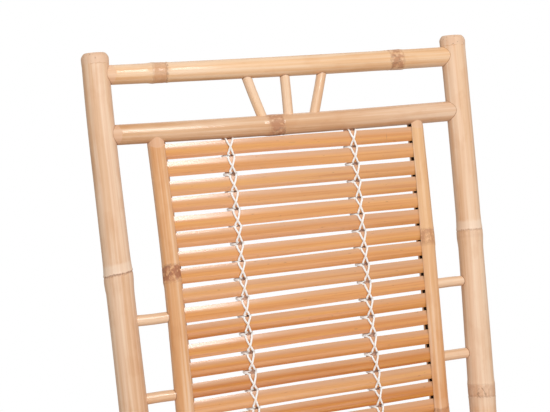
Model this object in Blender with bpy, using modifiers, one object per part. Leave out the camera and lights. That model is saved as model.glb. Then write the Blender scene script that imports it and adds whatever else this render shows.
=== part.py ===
"""Bamboo rocking chair with a slatted, cord-laced back and seat.

Metres, +Z up. The sitter faces -Y, the rockers stand on z = 0, and the origin lies midway between
the rocker tips. The back and the seat are panels with the same local directions: u runs across the
chair, v runs along the panel away from its first rail (down the back, forward over the seat), and
w points to the sitter's side.
"""

import math

import bmesh
import bpy
import numpy as np
from mathutils import Matrix, Vector

CHAIR_NAME = "bamboo_rocking_chair"

# Frame of the back, drops are measured down the back from the crest rail's axis
POST_SPACING = 0.560
POST_DIAMETER = 0.040
POST_LEAN = math.radians(0.98)
POST_ABOVE_CREST = 0.033
BACK_RECLINE = math.radians(20.0)
CREST_DIAMETER = 0.0296
HEAD_DIAMETER = 0.0304
HEAD_DROP = 0.086
RAY_DIAMETER = 0.015
RAY_SPREAD_AT_CREST = 0.063
RAY_SPREAD_AT_HEAD = 0.0375
STILE_SPACING = 0.4055
STILE_DIAMETER = 0.026
STILE_LEAN = math.radians(0.66)
RUNG_DIAMETER = 0.016
RUNG_DROPS = (0.352, 0.464)

# Slats, battens and lacing of both panels
BACK_SLATS = 26
SEAT_SLATS = 16
SLAT_WIDTH = 0.0207
SLAT_THICKNESS = 0.0065
SLAT_CROWN = 0.0014
SLAT_FACE = 0.0073
GROOVE_DEPTH = 0.005
BATTEN_WIDTH = 0.018
BATTEN_THICKNESS = 0.006
LACING_SPACING = 0.192
CORD_DIAMETER = 0.0020
CORD_CLEARANCE = 0.00055
CROSS_WIDTH = 0.0104
BACK_FOOT_GAP = 0.020
SEAT_END_GAP = 0.012

# Seat frame, legs and arms
SEAT_HEIGHT = 0.300
SEAT_RISE = math.radians(8.0)
REAR_RAIL_DIAMETER = 0.034
FRONT_RAIL_DIAMETER = 0.030
SIDE_RAIL_DIAMETER = 0.030
SIDE_RAIL_CLEARANCE = 0.003
SEAT_STILE_CLEARANCE = 0.002
LEG_DIAMETER = 0.034
ARM_DIAMETER = 0.038
ARM_DROP = 0.600
ARM_RISE = math.radians(4.0)
ARM_OVERHANG = 0.055
STRETCHER_DIAMETER = 0.026
FRONT_STRETCHER_HEIGHT = 0.200
REAR_STRETCHER_HEIGHT = 0.150

# Rockers
ROCKER_DIAMETER = 0.044
ROCKER_RADIUS = 1.000
ROCKER_LAND = 0.084
ROCKER_FRONT_REACH = 0.095
ROCKER_REAR_REACH = 0.445
BALANCE_REACH = 0.0700
ROCKER_FACET = 0.050

# Bamboo nodes, edges and joint gaps
RING_RISE = 0.0012
RING_HALF_LENGTH = 0.006
EDGE_ROUNDING = 0.003
JOINT_GAP = 0.0003
UNION_SINK = 0.0004
POLE_SIDES = 12
STICK_SIDES = 10
THICK_POLE = 0.020

# Distances of the bamboo nodes along their poles
POST_RINGS = {-1: (0.317, 0.581, 0.765, 0.985), 1: (0.3075, 0.566, 0.790, 1.005)}
STILE_RINGS = {-1: (0.2095, 0.480), 1: (0.1905, 0.455)}
CREST_RINGS = (0.093, 0.462)
HEAD_RINGS = (0.261,)
ARM_RINGS = (0.170, 0.430)
LEG_RINGS = (0.170,)
SEAT_RAIL_RINGS = (0.140, 0.390)
SIDE_RAIL_RINGS = (0.230,)
STRETCHER_RINGS = (0.200,)

# Values that follow from the sizes above
SLAT_GAP = 2 * CORD_DIAMETER + 3 * CORD_CLEARANCE
SLAT_PITCH = SLAT_WIDTH + SLAT_GAP
SLAT_BACK = SLAT_FACE - SLAT_THICKNESS
HEAD_GAP = CORD_DIAMETER + 2 * CORD_CLEARANCE
BACK_FIRST_EDGE = HEAD_DROP + HEAD_DIAMETER / 2 + HEAD_GAP
BACK_SLATS_END = BACK_FIRST_EDGE + BACK_SLATS * SLAT_PITCH - SLAT_GAP
SEAT_DROP = BACK_SLATS_END + BACK_FOOT_GAP + REAR_RAIL_DIAMETER / 2
SEAT_FIRST_EDGE = REAR_RAIL_DIAMETER / 2 + SEAT_END_GAP
SEAT_SLATS_END = SEAT_FIRST_EDGE + SEAT_SLATS * SLAT_PITCH - SLAT_GAP
SEAT_DEPTH = SEAT_SLATS_END + SEAT_END_GAP + FRONT_RAIL_DIAMETER / 2
SIDE_RAIL_DROP = (REAR_RAIL_DIAMETER + SIDE_RAIL_DIAMETER) / 2 + SIDE_RAIL_CLEARANCE
HANDS = {"left": -1, "right": 1}
ACROSS = Vector((1.0, 0.0, 0.0))


class Panel:
    """A flat panel of the chair, with its local directions v (along) and w (out, to the sitter)."""

    def __init__(self, origin, along, out):
        self.origin = Vector(origin)
        self.along = Vector(along)
        self.out = Vector(out)

    def at(self, u, v, w=0.0):
        return self.origin + u * ACROSS + v * self.along + w * self.out

    def frame(self, u, v, w=0.0):
        """Placement whose local x, y and z are along, out and minus across."""
        turn = Matrix((self.along, self.out, -ACROSS)).transposed()
        return Matrix.Translation(self.at(u, v, w)) @ turn.to_4x4()


# Side view: how the seat, the back and the rockers stand to one another

DOWN_BACK = Vector((0.0, -math.sin(BACK_RECLINE), -math.cos(BACK_RECLINE)))
OUT_OF_BACK = Vector((0.0, -math.cos(BACK_RECLINE), math.sin(BACK_RECLINE)))
OVER_SEAT = Vector((0.0, -math.cos(SEAT_RISE), math.sin(SEAT_RISE)))
OUT_OF_SEAT = Vector((0.0, math.sin(SEAT_RISE), math.cos(SEAT_RISE)))

ROCKER_APOTHEM = ROCKER_DIAMETER / 2 * math.cos(math.pi / POLE_SIDES)
ROCKER_AXIS_RADIUS = ROCKER_RADIUS - ROCKER_APOTHEM
LAND_HALF_ANGLE = math.asin(ROCKER_LAND / 2 / ROCKER_RADIUS)
ROCKER_CENTRE_HEIGHT = ROCKER_RADIUS * math.cos(LAND_HALF_ANGLE)


def rocker_axis_height(distance):
    """Height of the rocker's axis at a distance in front of or behind its lowest point."""
    return ROCKER_CENTRE_HEIGHT - math.sqrt(ROCKER_AXIS_RADIUS ** 2 - distance ** 2)


def post_foot_drop():
    """Drop at which the post's axis meets the rocker's axis."""
    drop = SEAT_DROP
    for _ in range(30):
        behind_rear_rail = (drop - SEAT_DROP) * DOWN_BACK.y
        height = rocker_axis_height(behind_rear_rail + BALANCE_REACH)
        drop = SEAT_DROP + (SEAT_HEIGHT - height) / math.cos(BACK_RECLINE)
    return drop


POST_FOOT_DROP = post_foot_drop()
LEG_BEFORE_REAR_RAIL = SEAT_DEPTH * math.cos(SEAT_RISE)
FRONT_TIP = -LEG_BEFORE_REAR_RAIL - ROCKER_FRONT_REACH
REAR_TIP = (POST_FOOT_DROP - SEAT_DROP) * DOWN_BACK.y + ROCKER_REAR_REACH
REAR_RAIL_Y = -(FRONT_TIP + REAR_TIP) / 2
LOW_POINT_Y = REAR_RAIL_Y - BALANCE_REACH
LEG_Y = REAR_RAIL_Y - LEG_BEFORE_REAR_RAIL
FRONT_RAIL_HEIGHT = SEAT_HEIGHT + SEAT_DEPTH * math.sin(SEAT_RISE)

REAR_RAIL_CENTRE = Vector((0.0, REAR_RAIL_Y, SEAT_HEIGHT))
BACK = Panel(REAR_RAIL_CENTRE - SEAT_DROP * DOWN_BACK, DOWN_BACK, OUT_OF_BACK)
SEAT = Panel(REAR_RAIL_CENTRE, OVER_SEAT, OUT_OF_SEAT)


def post_at(side, drop):
    return BACK.at(side * (POST_SPACING / 2 - drop * math.tan(POST_LEAN)), drop)


def stile_offset(drop):
    """Distance of a back stile's axis from the chair's middle."""
    return STILE_SPACING / 2 - (drop - HEAD_DROP) * math.tan(STILE_LEAN)


LEG_X = post_at(1, POST_FOOT_DROP).x
SEAT_STILE_OFFSET = stile_offset(SEAT_DROP) + STILE_DIAMETER + SEAT_STILE_CLEARANCE


# Scene, collections and materials

for leftover in list(bpy.data.objects):
    bpy.data.objects.remove(leftover, do_unlink=True)


def new_collection(name):
    collection = bpy.data.collections.new(name)
    bpy.context.scene.collection.children.link(collection)
    return collection


PARTS = new_collection(CHAIR_NAME)
CUTTERS = new_collection("cutters")
SEAT_SOLIDS = new_collection("seat_solids")
ROOT = bpy.data.objects.new("chair_origin", None)
PARTS.objects.link(ROOT)


def finish(name, colour, roughness):
    material = bpy.data.materials.new(name)
    material.use_nodes = True
    shader = material.node_tree.nodes["Principled BSDF"]
    shader.inputs["Base Color"].default_value = (*colour, 1.0)
    shader.inputs["Roughness"].default_value = roughness
    shader.inputs["Metallic"].default_value = 0.0
    return material


POLE_FINISH = finish("bamboo_pole", (0.76, 0.53, 0.34), 0.42)
STICK_FINISH = finish("bamboo_stick", (0.74, 0.50, 0.32), 0.45)
SLAT_FINISH = finish("bamboo_slat", (0.74, 0.41, 0.17), 0.38)
BATTEN_FINISH = finish("bamboo_batten", (0.55, 0.34, 0.20), 0.55)
CORD_FINISH = finish("lacing_cord", (0.95, 0.92, 0.86), 0.80)


def place(thing, collection, material=None):
    collection.objects.link(thing)
    if collection is PARTS:
        thing.parent = ROOT
    else:
        thing.hide_render = True
        thing.display_type = "WIRE"
    if material:
        thing.data.materials.append(material)
    return thing


def mesh_object(name, shape):
    mesh = bpy.data.meshes.new(name)
    shape.to_mesh(mesh)
    shape.free()
    return bpy.data.objects.new(name, mesh)


# Poles and the saddles cut for them

POLES = {}


def pole_profile(length, radius, rings, round_start, round_end):
    """Half outline of a pole, from its end at z = length down to its start at z = 0."""
    outline = [(0.0, length)]
    if round_end:
        outline += [(radius - EDGE_ROUNDING, length), (radius, length - EDGE_ROUNDING)]
    else:
        outline.append((radius, length))
    for ring in sorted(rings, reverse=True):
        if 2 * RING_HALF_LENGTH < ring < length - 2 * RING_HALF_LENGTH:
            outline.append((radius, ring + RING_HALF_LENGTH))
            outline.append((radius + RING_RISE, ring))
            outline.append((radius, ring - RING_HALF_LENGTH))
    if round_start:
        outline += [(radius, EDGE_ROUNDING), (radius - EDGE_ROUNDING, 0.0)]
    else:
        outline.append((radius, 0.0))
    outline.append((0.0, 0.0))
    return outline


def turned(name, start, end, outline, sides):
    """Object turned from a half outline, its axis running from start to end."""
    mesh = bpy.data.meshes.new(name)
    points = [(radius, 0.0, height) for radius, height in outline]
    links = [(index, index + 1) for index in range(len(points) - 1)]
    mesh.from_pydata(points, links, [])
    thing = bpy.data.objects.new(name, mesh)
    thing.location = start
    thing.rotation_euler = (end - start).to_track_quat("Z", "Y").to_euler()
    screw = thing.modifiers.new("turn", "SCREW")
    screw.axis = "Z"
    screw.angle = 2 * math.pi
    screw.steps = sides
    screw.render_steps = sides
    screw.use_merge_vertices = True
    screw.merge_threshold = 0.00001
    screw.use_smooth_shade = True
    return thing


def pole(name, start, end, diameter, rings=(), round_start=False, round_end=False):
    """A bamboo pole from start to end, with its nodes at the given distances from start."""
    sides = POLE_SIDES if diameter > THICK_POLE else STICK_SIDES
    outline = pole_profile((end - start).length, diameter / 2, rings, round_start, round_end)
    thing = turned(name, start, end, outline, sides)
    POLES[name] = (start, end, diameter, rings, sides)
    return place(thing, PARTS, POLE_FINISH if diameter > THICK_POLE else STICK_FINISH)


def saddle(name):
    """Cutter that follows a pole all round, larger by the joint gap."""
    cutter_name = name + "_saddle"
    if cutter_name not in bpy.data.objects:
        start, end, diameter, rings, sides = POLES[name]
        outline = pole_profile((end - start).length, diameter / 2 + JOINT_GAP, rings, False, False)
        place(turned(cutter_name, start, end, outline, sides), CUTTERS)
    return bpy.data.objects[cutter_name]


def cut(piece, cutter):
    boolean = piece.modifiers.new("cut_by_" + cutter.name, "BOOLEAN")
    boolean.operation = "DIFFERENCE"
    boolean.solver = "EXACT"
    boolean.object = cutter


def cope(piece, *neighbours):
    """Cuts the piece's ends to sit on the poles or rockers that carry it."""
    for neighbour in neighbours:
        cut(piece, saddle(neighbour))


def box(name, frame, size):
    """Box of the given size, centred on a frame's origin and turned with it."""
    shape = bmesh.new()
    bmesh.ops.create_cube(shape, size=1.0, matrix=Matrix.Diagonal((*size, 1.0)))
    thing = mesh_object(name, shape)
    thing.matrix_world = frame
    return thing


# Rockers, bent poles with a flat land at their lowest point


def bent_pole(name, x, diameter):
    """Pole swept along the rocker's arc, with one of its flats facing down."""
    centre = Vector((x, LOW_POINT_Y, ROCKER_CENTRE_HEIGHT))
    front_angle = math.asin((LOW_POINT_Y - REAR_RAIL_Y - FRONT_TIP) / ROCKER_RADIUS)
    rear_angle = math.asin((REAR_RAIL_Y + REAR_TIP - LOW_POINT_Y) / ROCKER_RADIUS)
    shape = bmesh.new()
    section = bmesh.ops.create_circle(shape, cap_ends=True, segments=POLE_SIDES, radius=diameter / 2)
    stand_up = Matrix.Rotation(math.pi / 2, 4, "X") @ Matrix.Rotation(math.pi / POLE_SIDES, 4, "Z")
    lowest = Matrix.Translation(centre - Vector((0.0, 0.0, ROCKER_AXIS_RADIUS)))
    swing = Matrix.Rotation(-front_angle, 4, "X")
    to_tip = Matrix.Translation(centre) @ swing @ Matrix.Translation(-centre)
    bmesh.ops.transform(shape, matrix=to_tip @ lowest @ stand_up, verts=section["verts"])
    last = shape.faces[:] + shape.edges[:] + shape.verts[:]
    front_arm = front_angle - LAND_HALF_ANGLE
    rear_arm = rear_angle - LAND_HALF_ANGLE
    front_steps = max(1, round(front_arm * ROCKER_RADIUS / ROCKER_FACET))
    rear_steps = max(1, round(rear_arm * ROCKER_RADIUS / ROCKER_FACET))
    sweeps = ((front_arm, front_steps), (2 * LAND_HALF_ANGLE, 1), (rear_arm, rear_steps))
    for sweep, steps in sweeps:
        swept = bmesh.ops.spin(
            shape, geom=last, cent=centre, axis=(1.0, 0.0, 0.0), angle=sweep, steps=steps
        )
        last = swept["geom_last"]
    open_edges = [edge for edge in shape.edges if edge.is_boundary]
    bmesh.ops.holes_fill(shape, edges=open_edges)
    bmesh.ops.recalc_face_normals(shape, faces=shape.faces)
    return mesh_object(name, shape)


def build_rockers():
    for word, side in HANDS.items():
        name = "rocker_" + word
        place(bent_pole(name, side * LEG_X, ROCKER_DIAMETER), PARTS, POLE_FINISH)
        inflated = ROCKER_DIAMETER + 2 * JOINT_GAP
        place(bent_pole(name + "_saddle", side * LEG_X, inflated), CUTTERS)


# Frame of the back


def build_back_frame():
    for word, side in HANDS.items():
        top = post_at(side, -POST_ABOVE_CREST)
        foot = post_at(side, POST_FOOT_DROP)
        post = pole("back_post_" + word, top, foot, POST_DIAMETER, POST_RINGS[side], round_start=True)
        cope(post, "rocker_" + word)
    for name, drop, diameter, rings in (
        ("crest_rail", 0.0, CREST_DIAMETER, CREST_RINGS),
        ("head_rail", HEAD_DROP, HEAD_DIAMETER, HEAD_RINGS),
        ("seat_rear_rail", SEAT_DROP, REAR_RAIL_DIAMETER, SEAT_RAIL_RINGS),
    ):
        rail = pole(name, post_at(-1, drop), post_at(1, drop), diameter, rings)
        cope(rail, "back_post_left", "back_post_right")
    for word, place_across in (("left", -1), ("middle", 0), ("right", 1)):
        top = BACK.at(place_across * RAY_SPREAD_AT_CREST, 0.0)
        foot = BACK.at(place_across * RAY_SPREAD_AT_HEAD, HEAD_DROP)
        cope(pole("ray_" + word, top, foot, RAY_DIAMETER), "crest_rail", "head_rail")


def build_back_stiles():
    for word, side in HANDS.items():
        top = BACK.at(side * stile_offset(HEAD_DROP), HEAD_DROP)
        foot = BACK.at(side * stile_offset(SEAT_DROP), SEAT_DROP)
        stile = pole("back_stile_" + word, top, foot, STILE_DIAMETER, STILE_RINGS[side])
        cope(stile, "head_rail", "seat_rear_rail")
        groove(stile, top, foot, -side, BACK)
        for level, drop in zip(("upper", "lower"), RUNG_DROPS):
            on_post = post_at(side, drop)
            on_stile = BACK.at(side * stile_offset(drop), drop)
            rung = pole("back_rung_%s_%s" % (level, word), on_post, on_stile, RUNG_DIAMETER)
            cope(rung, "back_post_" + word, "back_stile_" + word)


def groove(stile, start, end, inward, panel):
    """Cuts the slot that takes the slat ends, along the stile's inner side."""
    length = (end - start).length
    along = (end - start).normalized()
    across = along.cross(panel.out).normalized()
    if across.x * inward < 0:
        across.negate()
    reach = GROOVE_DEPTH + RING_RISE + JOINT_GAP
    height = SLAT_THICKNESS + 2 * JOINT_GAP
    middle = (start + end) / 2
    middle = middle + across * (STILE_DIAMETER / 2 - GROOVE_DEPTH + reach / 2)
    middle = middle + panel.out * (SLAT_FACE + SLAT_BACK) / 2
    turn = Matrix((across, panel.out, across.cross(panel.out))).transposed()
    slot = box(stile.name + "_slot", Matrix.Translation(middle) @ turn.to_4x4(), (reach, height, length))
    cut(stile, place(slot, CUTTERS))


# Slats, battens and lacing


def slat(name, panel, half_length, edge):
    """Split-bamboo slat with a crowned face, its first edge at the given v."""
    outline = bpy.data.curves.new(name, "CURVE")
    outline.dimensions = "2D"
    outline.fill_mode = "BOTH"
    outline.extrude = half_length
    shares = (-1.0, -0.5, 0.0, 0.5, 1.0)
    points = [(share * SLAT_WIDTH / 2, SLAT_FACE - SLAT_CROWN * share ** 2) for share in shares]
    points += [(SLAT_WIDTH / 2, SLAT_BACK), (-SLAT_WIDTH / 2, SLAT_BACK)]
    spline = outline.splines.new("POLY")
    spline.points.add(len(points) - 1)
    spline.use_cyclic_u = True
    for point, (along, out) in zip(spline.points, points):
        point.co = (along, out, 0.0, 1.0)
    thing = bpy.data.objects.new(name, outline)
    thing.matrix_world = panel.frame(0.0, edge + SLAT_WIDTH / 2)
    return thing


def slat_half_length(stile_axis):
    return stile_axis - STILE_DIAMETER / 2 + GROOVE_DEPTH - JOINT_GAP


def as_mesh(curve_object):
    """Replaces a curve object by a welded mesh, so that it can be joined or cut."""
    bpy.context.view_layer.update()
    graph = bpy.context.evaluated_depsgraph_get()
    mesh = bpy.data.meshes.new_from_object(curve_object.evaluated_get(graph))
    shape = bmesh.new()
    shape.from_mesh(mesh)
    bmesh.ops.remove_doubles(shape, verts=shape.verts, dist=0.00001)
    shape.to_mesh(mesh)
    shape.free()
    thing = bpy.data.objects.new(curve_object.name + "_solid", mesh)
    thing.matrix_world = curve_object.matrix_world
    bpy.data.objects.remove(curve_object)
    return thing


def batten(name, panel, across, rail_places, face):
    """Flat strip behind a panel's slats, from the panel's first rail axis to its last."""
    start, end = rail_places
    frame = panel.frame(across, (start + end) / 2, face - BATTEN_THICKNESS / 2)
    return box(name, frame, (end - start, BATTEN_THICKNESS, BATTEN_WIDTH))


def build_back_slats():
    for index in range(BACK_SLATS):
        edge = BACK_FIRST_EDGE + index * SLAT_PITCH
        half_length = slat_half_length(stile_offset(edge + SLAT_WIDTH))
        piece = slat("back_slat_%02d" % (index + 1), BACK, half_length, edge)
        place(piece, PARTS, SLAT_FINISH)
    for word, side in HANDS.items():
        across = side * LACING_SPACING / 2
        strip = batten("back_batten_" + word, BACK, across, (HEAD_DROP, SEAT_DROP), SLAT_BACK - JOINT_GAP)
        cope(place(strip, PARTS, BATTEN_FINISH), "head_rail", "seat_rear_rail")


def build_seat_mat():
    """Seat slats on their two battens, joined into one solid that grows from the left batten."""
    for name, side, collection in (("seat_mat", -1, PARTS), ("seat_batten_right", 1, SEAT_SOLIDS)):
        across = side * LACING_SPACING / 2
        strip = batten(name, SEAT, across, (0.0, SEAT_DEPTH), SLAT_BACK + UNION_SINK)
        cope(place(strip, collection, SLAT_FINISH), "seat_rear_rail", "seat_front_rail")
    for index in range(SEAT_SLATS):
        edge = SEAT_FIRST_EDGE + index * SLAT_PITCH
        piece = slat("seat_slat_%02d" % (index + 1), SEAT, slat_half_length(SEAT_STILE_OFFSET), edge)
        place(as_mesh(place(piece, SEAT_SOLIDS)), SEAT_SOLIDS)
    union = bpy.data.objects["seat_mat"].modifiers.new("slats", "BOOLEAN")
    union.operation = "UNION"
    union.solver = "EXACT"
    union.operand_type = "COLLECTION"
    union.collection = SEAT_SOLIDS


def lacing_route(panel, line, first_edge, count):
    """Points of one cord: down over every slat, round below the last one, and back up.

    Going down, the cord crosses each slat from its upper left to its lower right and passes behind
    the batten from right to left. Going up, it crosses the other way, outside the first pass.
    """
    radius = CORD_DIAMETER / 2
    edge_offset = radius + CORD_CLEARANCE
    layer = CORD_DIAMETER + CORD_CLEARANCE
    front = SLAT_FACE + edge_offset
    batten_face = SLAT_BACK - JOINT_GAP
    batten_back = batten_face - BATTEN_THICKNESS
    behind = batten_back - edge_offset
    narrow = CROSS_WIDTH / 2
    wide = BATTEN_WIDTH / 2 + edge_offset + CORD_CLEARANCE

    def round_batten(side, v, depth, outward):
        """Points beside and behind the batten, in the order met going in, or the reverse."""
        beside = (side * wide, v, batten_face + radius)
        back = (side * (wide - radius), v, depth)
        return [back, beside] if outward else [beside, back]

    points = [(-narrow / 2, first_edge - edge_offset, behind)]
    for index in range(count):
        above = first_edge + index * SLAT_PITCH - edge_offset
        below = above + SLAT_WIDTH + 2 * edge_offset
        points += round_batten(-1, above, behind, True)
        points += [(-narrow, above, front), (narrow, below, front)]
        points += round_batten(1, below, behind, False)
    for index in reversed(range(count)):
        above = first_edge + index * SLAT_PITCH - edge_offset
        below = above + SLAT_WIDTH + 2 * edge_offset
        points += round_batten(-1, below, behind - layer, True)
        points += [(-narrow, below, front + layer), (narrow, above, front + layer)]
        points += round_batten(1, above, behind - layer, False)
    points.append((narrow / 2, first_edge - edge_offset, behind - layer))
    return [panel.at(line + u, v, w) for u, v, w in points]


def report_cord(name, route):
    """Prints the cord's length and its least gap to itself, measured on points along it."""
    samples = []
    travelled = []
    total = 0.0
    spacing = CORD_DIAMETER / 4
    for start, end in zip(route[:-1], route[1:]):
        length = (end - start).length
        steps = max(1, math.ceil(length / spacing))
        for step in range(steps):
            samples.append(start.lerp(end, step / steps))
            travelled.append(total + length * step / steps)
        total += length
    places = np.array(samples)
    travelled = np.array(travelled)
    least = math.inf
    for index in range(len(places)):
        far = travelled > travelled[index] + 4 * CORD_DIAMETER
        if far.any():
            least = min(least, np.linalg.norm(places[far] - places[index], axis=1).min())
    print("%s: length %.3f m, least gap to itself %.2f mm" % (name, total, 1000 * (least - CORD_DIAMETER)))


def lacing(name, panel, line, first_edge, count):
    route = lacing_route(panel, line, first_edge, count)
    report_cord(name, route)
    cord = bpy.data.curves.new(name, "CURVE")
    cord.dimensions = "3D"
    cord.bevel_depth = CORD_DIAMETER / 2
    cord.bevel_resolution = 0
    cord.use_fill_caps = True
    spline = cord.splines.new("POLY")
    spline.points.add(len(route) - 1)
    for point, place_on_route in zip(spline.points, route):
        point.co = (*place_on_route, 1.0)
    place(bpy.data.objects.new(name, cord), PARTS, CORD_FINISH)


def build_lacing():
    for word, side in HANDS.items():
        line = side * LACING_SPACING / 2
        lacing("back_lacing_" + word, BACK, line, BACK_FIRST_EDGE, BACK_SLATS)
        lacing("seat_lacing_" + word, SEAT, line, SEAT_FIRST_EDGE, SEAT_SLATS)


# Arms, legs, seat frame and stretchers


def build_sides():
    for word, side in HANDS.items():
        on_post = post_at(side, ARM_DROP)
        arm_height = on_post.z + (on_post.y - LEG_Y) * math.tan(ARM_RISE)
        leg_top = Vector((side * LEG_X, LEG_Y, arm_height))
        arm_tip = leg_top + (leg_top - on_post).normalized() * ARM_OVERHANG
        arm = pole("arm_" + word, on_post, arm_tip, ARM_DIAMETER, ARM_RINGS, round_end=True)
        cope(arm, "back_post_" + word)
        leg_foot = Vector((side * LEG_X, LEG_Y, rocker_axis_height(LOW_POINT_Y - LEG_Y)))
        leg = pole("front_leg_" + word, leg_foot, leg_top, LEG_DIAMETER, LEG_RINGS)
        cope(leg, "rocker_" + word, "arm_" + word)
        drop_on_leg = SIDE_RAIL_DROP / math.cos(SEAT_RISE)
        drop_on_post = SIDE_RAIL_DROP / math.cos(BACK_RECLINE - SEAT_RISE)
        on_leg = Vector((side * LEG_X, LEG_Y, FRONT_RAIL_HEIGHT - drop_on_leg))
        under_seat = post_at(side, SEAT_DROP + drop_on_post)
        rail = pole("seat_side_rail_" + word, on_leg, under_seat, SIDE_RAIL_DIAMETER, SIDE_RAIL_RINGS)
        cope(rail, "front_leg_" + word, "back_post_" + word)


def build_cross_rails():
    for name, height, diameter, rings in (
        ("seat_front_rail", FRONT_RAIL_HEIGHT, FRONT_RAIL_DIAMETER, SEAT_RAIL_RINGS),
        ("front_stretcher", FRONT_STRETCHER_HEIGHT, STRETCHER_DIAMETER, STRETCHER_RINGS),
    ):
        left = Vector((-LEG_X, LEG_Y, height))
        right = Vector((LEG_X, LEG_Y, height))
        cope(pole(name, left, right, diameter, rings), "front_leg_left", "front_leg_right")
    drop = SEAT_DROP + (SEAT_HEIGHT - REAR_STRETCHER_HEIGHT) / math.cos(BACK_RECLINE)
    ends = (post_at(-1, drop), post_at(1, drop))
    rear = pole("rear_stretcher", *ends, STRETCHER_DIAMETER, STRETCHER_RINGS)
    cope(rear, "back_post_left", "back_post_right")


def build_seat_stiles():
    for word, side in HANDS.items():
        rear = SEAT.at(side * SEAT_STILE_OFFSET, 0.0)
        front = SEAT.at(side * SEAT_STILE_OFFSET, SEAT_DEPTH)
        stile = pole("seat_stile_" + word, rear, front, STILE_DIAMETER, SIDE_RAIL_RINGS)
        cope(stile, "seat_rear_rail", "seat_front_rail")
        groove(stile, rear, front, -side, SEAT)


build_rockers()
build_back_frame()
build_back_stiles()
build_sides()
build_cross_rails()
build_seat_stiles()
build_back_slats()
build_seat_mat()
build_lacing()
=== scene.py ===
"""Finish of the bamboo rocking chair: lacquered poles, split-bamboo slats and white lacing.

Every piece stands where its solid in the frame stands, in metres, +Z up, the sitter facing -Y.
A pole is shaped along its own z axis and a slat along its own x axis before it is set in place.
"""

import math
import random
from dataclasses import dataclass, replace

import bmesh
import bpy
import numpy as np
from mathutils import Matrix, Vector


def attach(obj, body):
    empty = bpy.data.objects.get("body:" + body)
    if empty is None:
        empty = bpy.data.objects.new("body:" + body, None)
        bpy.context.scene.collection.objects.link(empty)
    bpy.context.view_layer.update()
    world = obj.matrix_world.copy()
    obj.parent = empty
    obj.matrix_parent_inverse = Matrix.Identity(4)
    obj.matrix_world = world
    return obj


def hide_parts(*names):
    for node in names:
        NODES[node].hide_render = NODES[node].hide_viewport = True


# Camera, from the vanishing lines of the rails and posts in the photograph
PHOTO_WIDTH = 550
FOCAL_PIXELS = 1000.0
SENSOR_WIDTH = 36.0
CAMERA_FROM_CREST = (-0.4427, -1.4190, 0.2720)
CAMERA_TURN = math.radians(16.84)
CAMERA_DIP = math.radians(18.37)

# Reading the solids: their facets, how square a side face stands to the axis, and how closely it fits
SOLID_FACETS = 12
SIDE_TOLERANCES = (0.3, 0.02)
FLAT_ROUNDS = 8
FLAT_SHARE = 0.7
FLAT_MISFIT = 0.00005
RING_RISE = 0.0008
RING_SPACING = 0.01
FLANK_SHARE = 0.98
ARC_GUESS = 1.0
ARC_ROUNDS = 30

# What counts as one place, as one point, as on a cut, and as far from any mark
SAME_PLACE = 0.00001
WELD_REACH = 0.000001
CUT_REACH = 0.0000001
FAR_OFF = 0.05

# Poles, and the shares by which they are oval, wavy and three-sided
POLE_SIDES = 56
STICK_SIDES = 36
STICK_RADIUS = 0.010
PLAIN_ROW = 0.012
POLE_FRONT = Vector((0.0, -1.0, 0.3))
POLE_BOW = 0.0006
OVAL_SHARE = 0.006
OVAL_TWIST = 2.0
WAVE_SHARE = 0.004
WAVE_RATE = 27.0
LOBE_SHARE = 0.003
LOBE_TWIST = 9.0
SKIN_SHARE = 0.55
SHARP_EDGE = math.radians(38.0)
GRAIN_STEP = 3.0

# Bamboo nodes and their buds
NODE_ROW = 0.001
NODE_REACH = 0.034
NODE_CORE = 0.008
NODE_FULL = 2.4
NODE_FADE = 2.6
NODE_SPREAD = 0.016
NODE_RIDGE = 0.0009
RIDGE_SPREAD = 0.0045
NODE_LEDGE = 0.0005
LEDGE_PLACE = 0.0022
LEDGE_SPREAD = 0.0016
NODE_GROOVE = 0.0007
NODE_GROOVE_SPREAD = 0.0011
NODE_RIPPLE = 0.0005
RIPPLE_WAVES = 3
RIPPLE_PHASE = 50
MOST_TILT = 0.1
BUD_WIDTH = 0.0062
BUD_LENGTH = 0.0085
BUD_PLACE = 0.75
BUD_TAPER = 0.45
BUD_RISE = 0.0011
BUD_STEEPNESS = 2.0
BUD_FAR = 3.0
ROCKER_NODES = (0.16, 0.41, 0.63, 0.86)

# Ends of poles: coped with a sanded neck, or free with a worn dome
JOINT_SINK = 0.0008
MOUTH_SPARE = 0.0015
NECK_LENGTH = 0.0033
NECK_TONGUE = 0.0060
NECK_REACH = 0.0090
NECK_ROW = 0.0006
NECK_STEP = 0.00025
NECK_EDGE = 1.20
NECK_SOFTNESS = 0.25
DOME_INSET = 0.0056
DOME_FALL = 0.0082
DOME_BLUNTNESS = 1.35
DOME_RISE = 0.0006
DOME_STEPS = 7
DOME_RINGS = (0.66, 0.33, 0.0)
CAP_LENGTH = 0.014
CAP_SWELL = 0.0006
CAP_SLANT = 0.10

# Girth of a pole at even steps from its lower, left or front end, as a share of its solid's
EVEN_GIRTH = (1.008, 1.0, 0.992)
GIRTHS = {
    "back_post_left": (1.03, 1.03, 1.02, 0.978, 0.955),
    "back_post_right": (1.02, 1.02, 1.04, 0.955, 0.968),
    "crest_rail": (0.958, 1.012, 1.018),
    "head_rail": (0.955, 1.012, 1.028),
    "back_stile_left": (1.05, 1.10, 1.08, 1.02, 1.02),
    "back_stile_right": (1.08, 1.10, 1.09, 1.05, 0.95),
}

# Poles without sanded ends, and poles with a sanded left end only
UNSANDED = ("ray", "back_rung")
HALF_SANDED = ("crest_rail", "head_rail")

# How far the middles of the top rails hang below a straight line
SAGS = {"crest_rail": 0.0014, "head_rail": 0.0021}

# How far poles lie to the right of a straight line, as one bow and as a double bow from the lower end
SWAYS = {
    "back_post_right": (-0.0014, -0.0026),
    "back_stile_left": (0.0009, -0.0018),
    "back_stile_right": (-0.0008, -0.0012),
}

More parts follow.
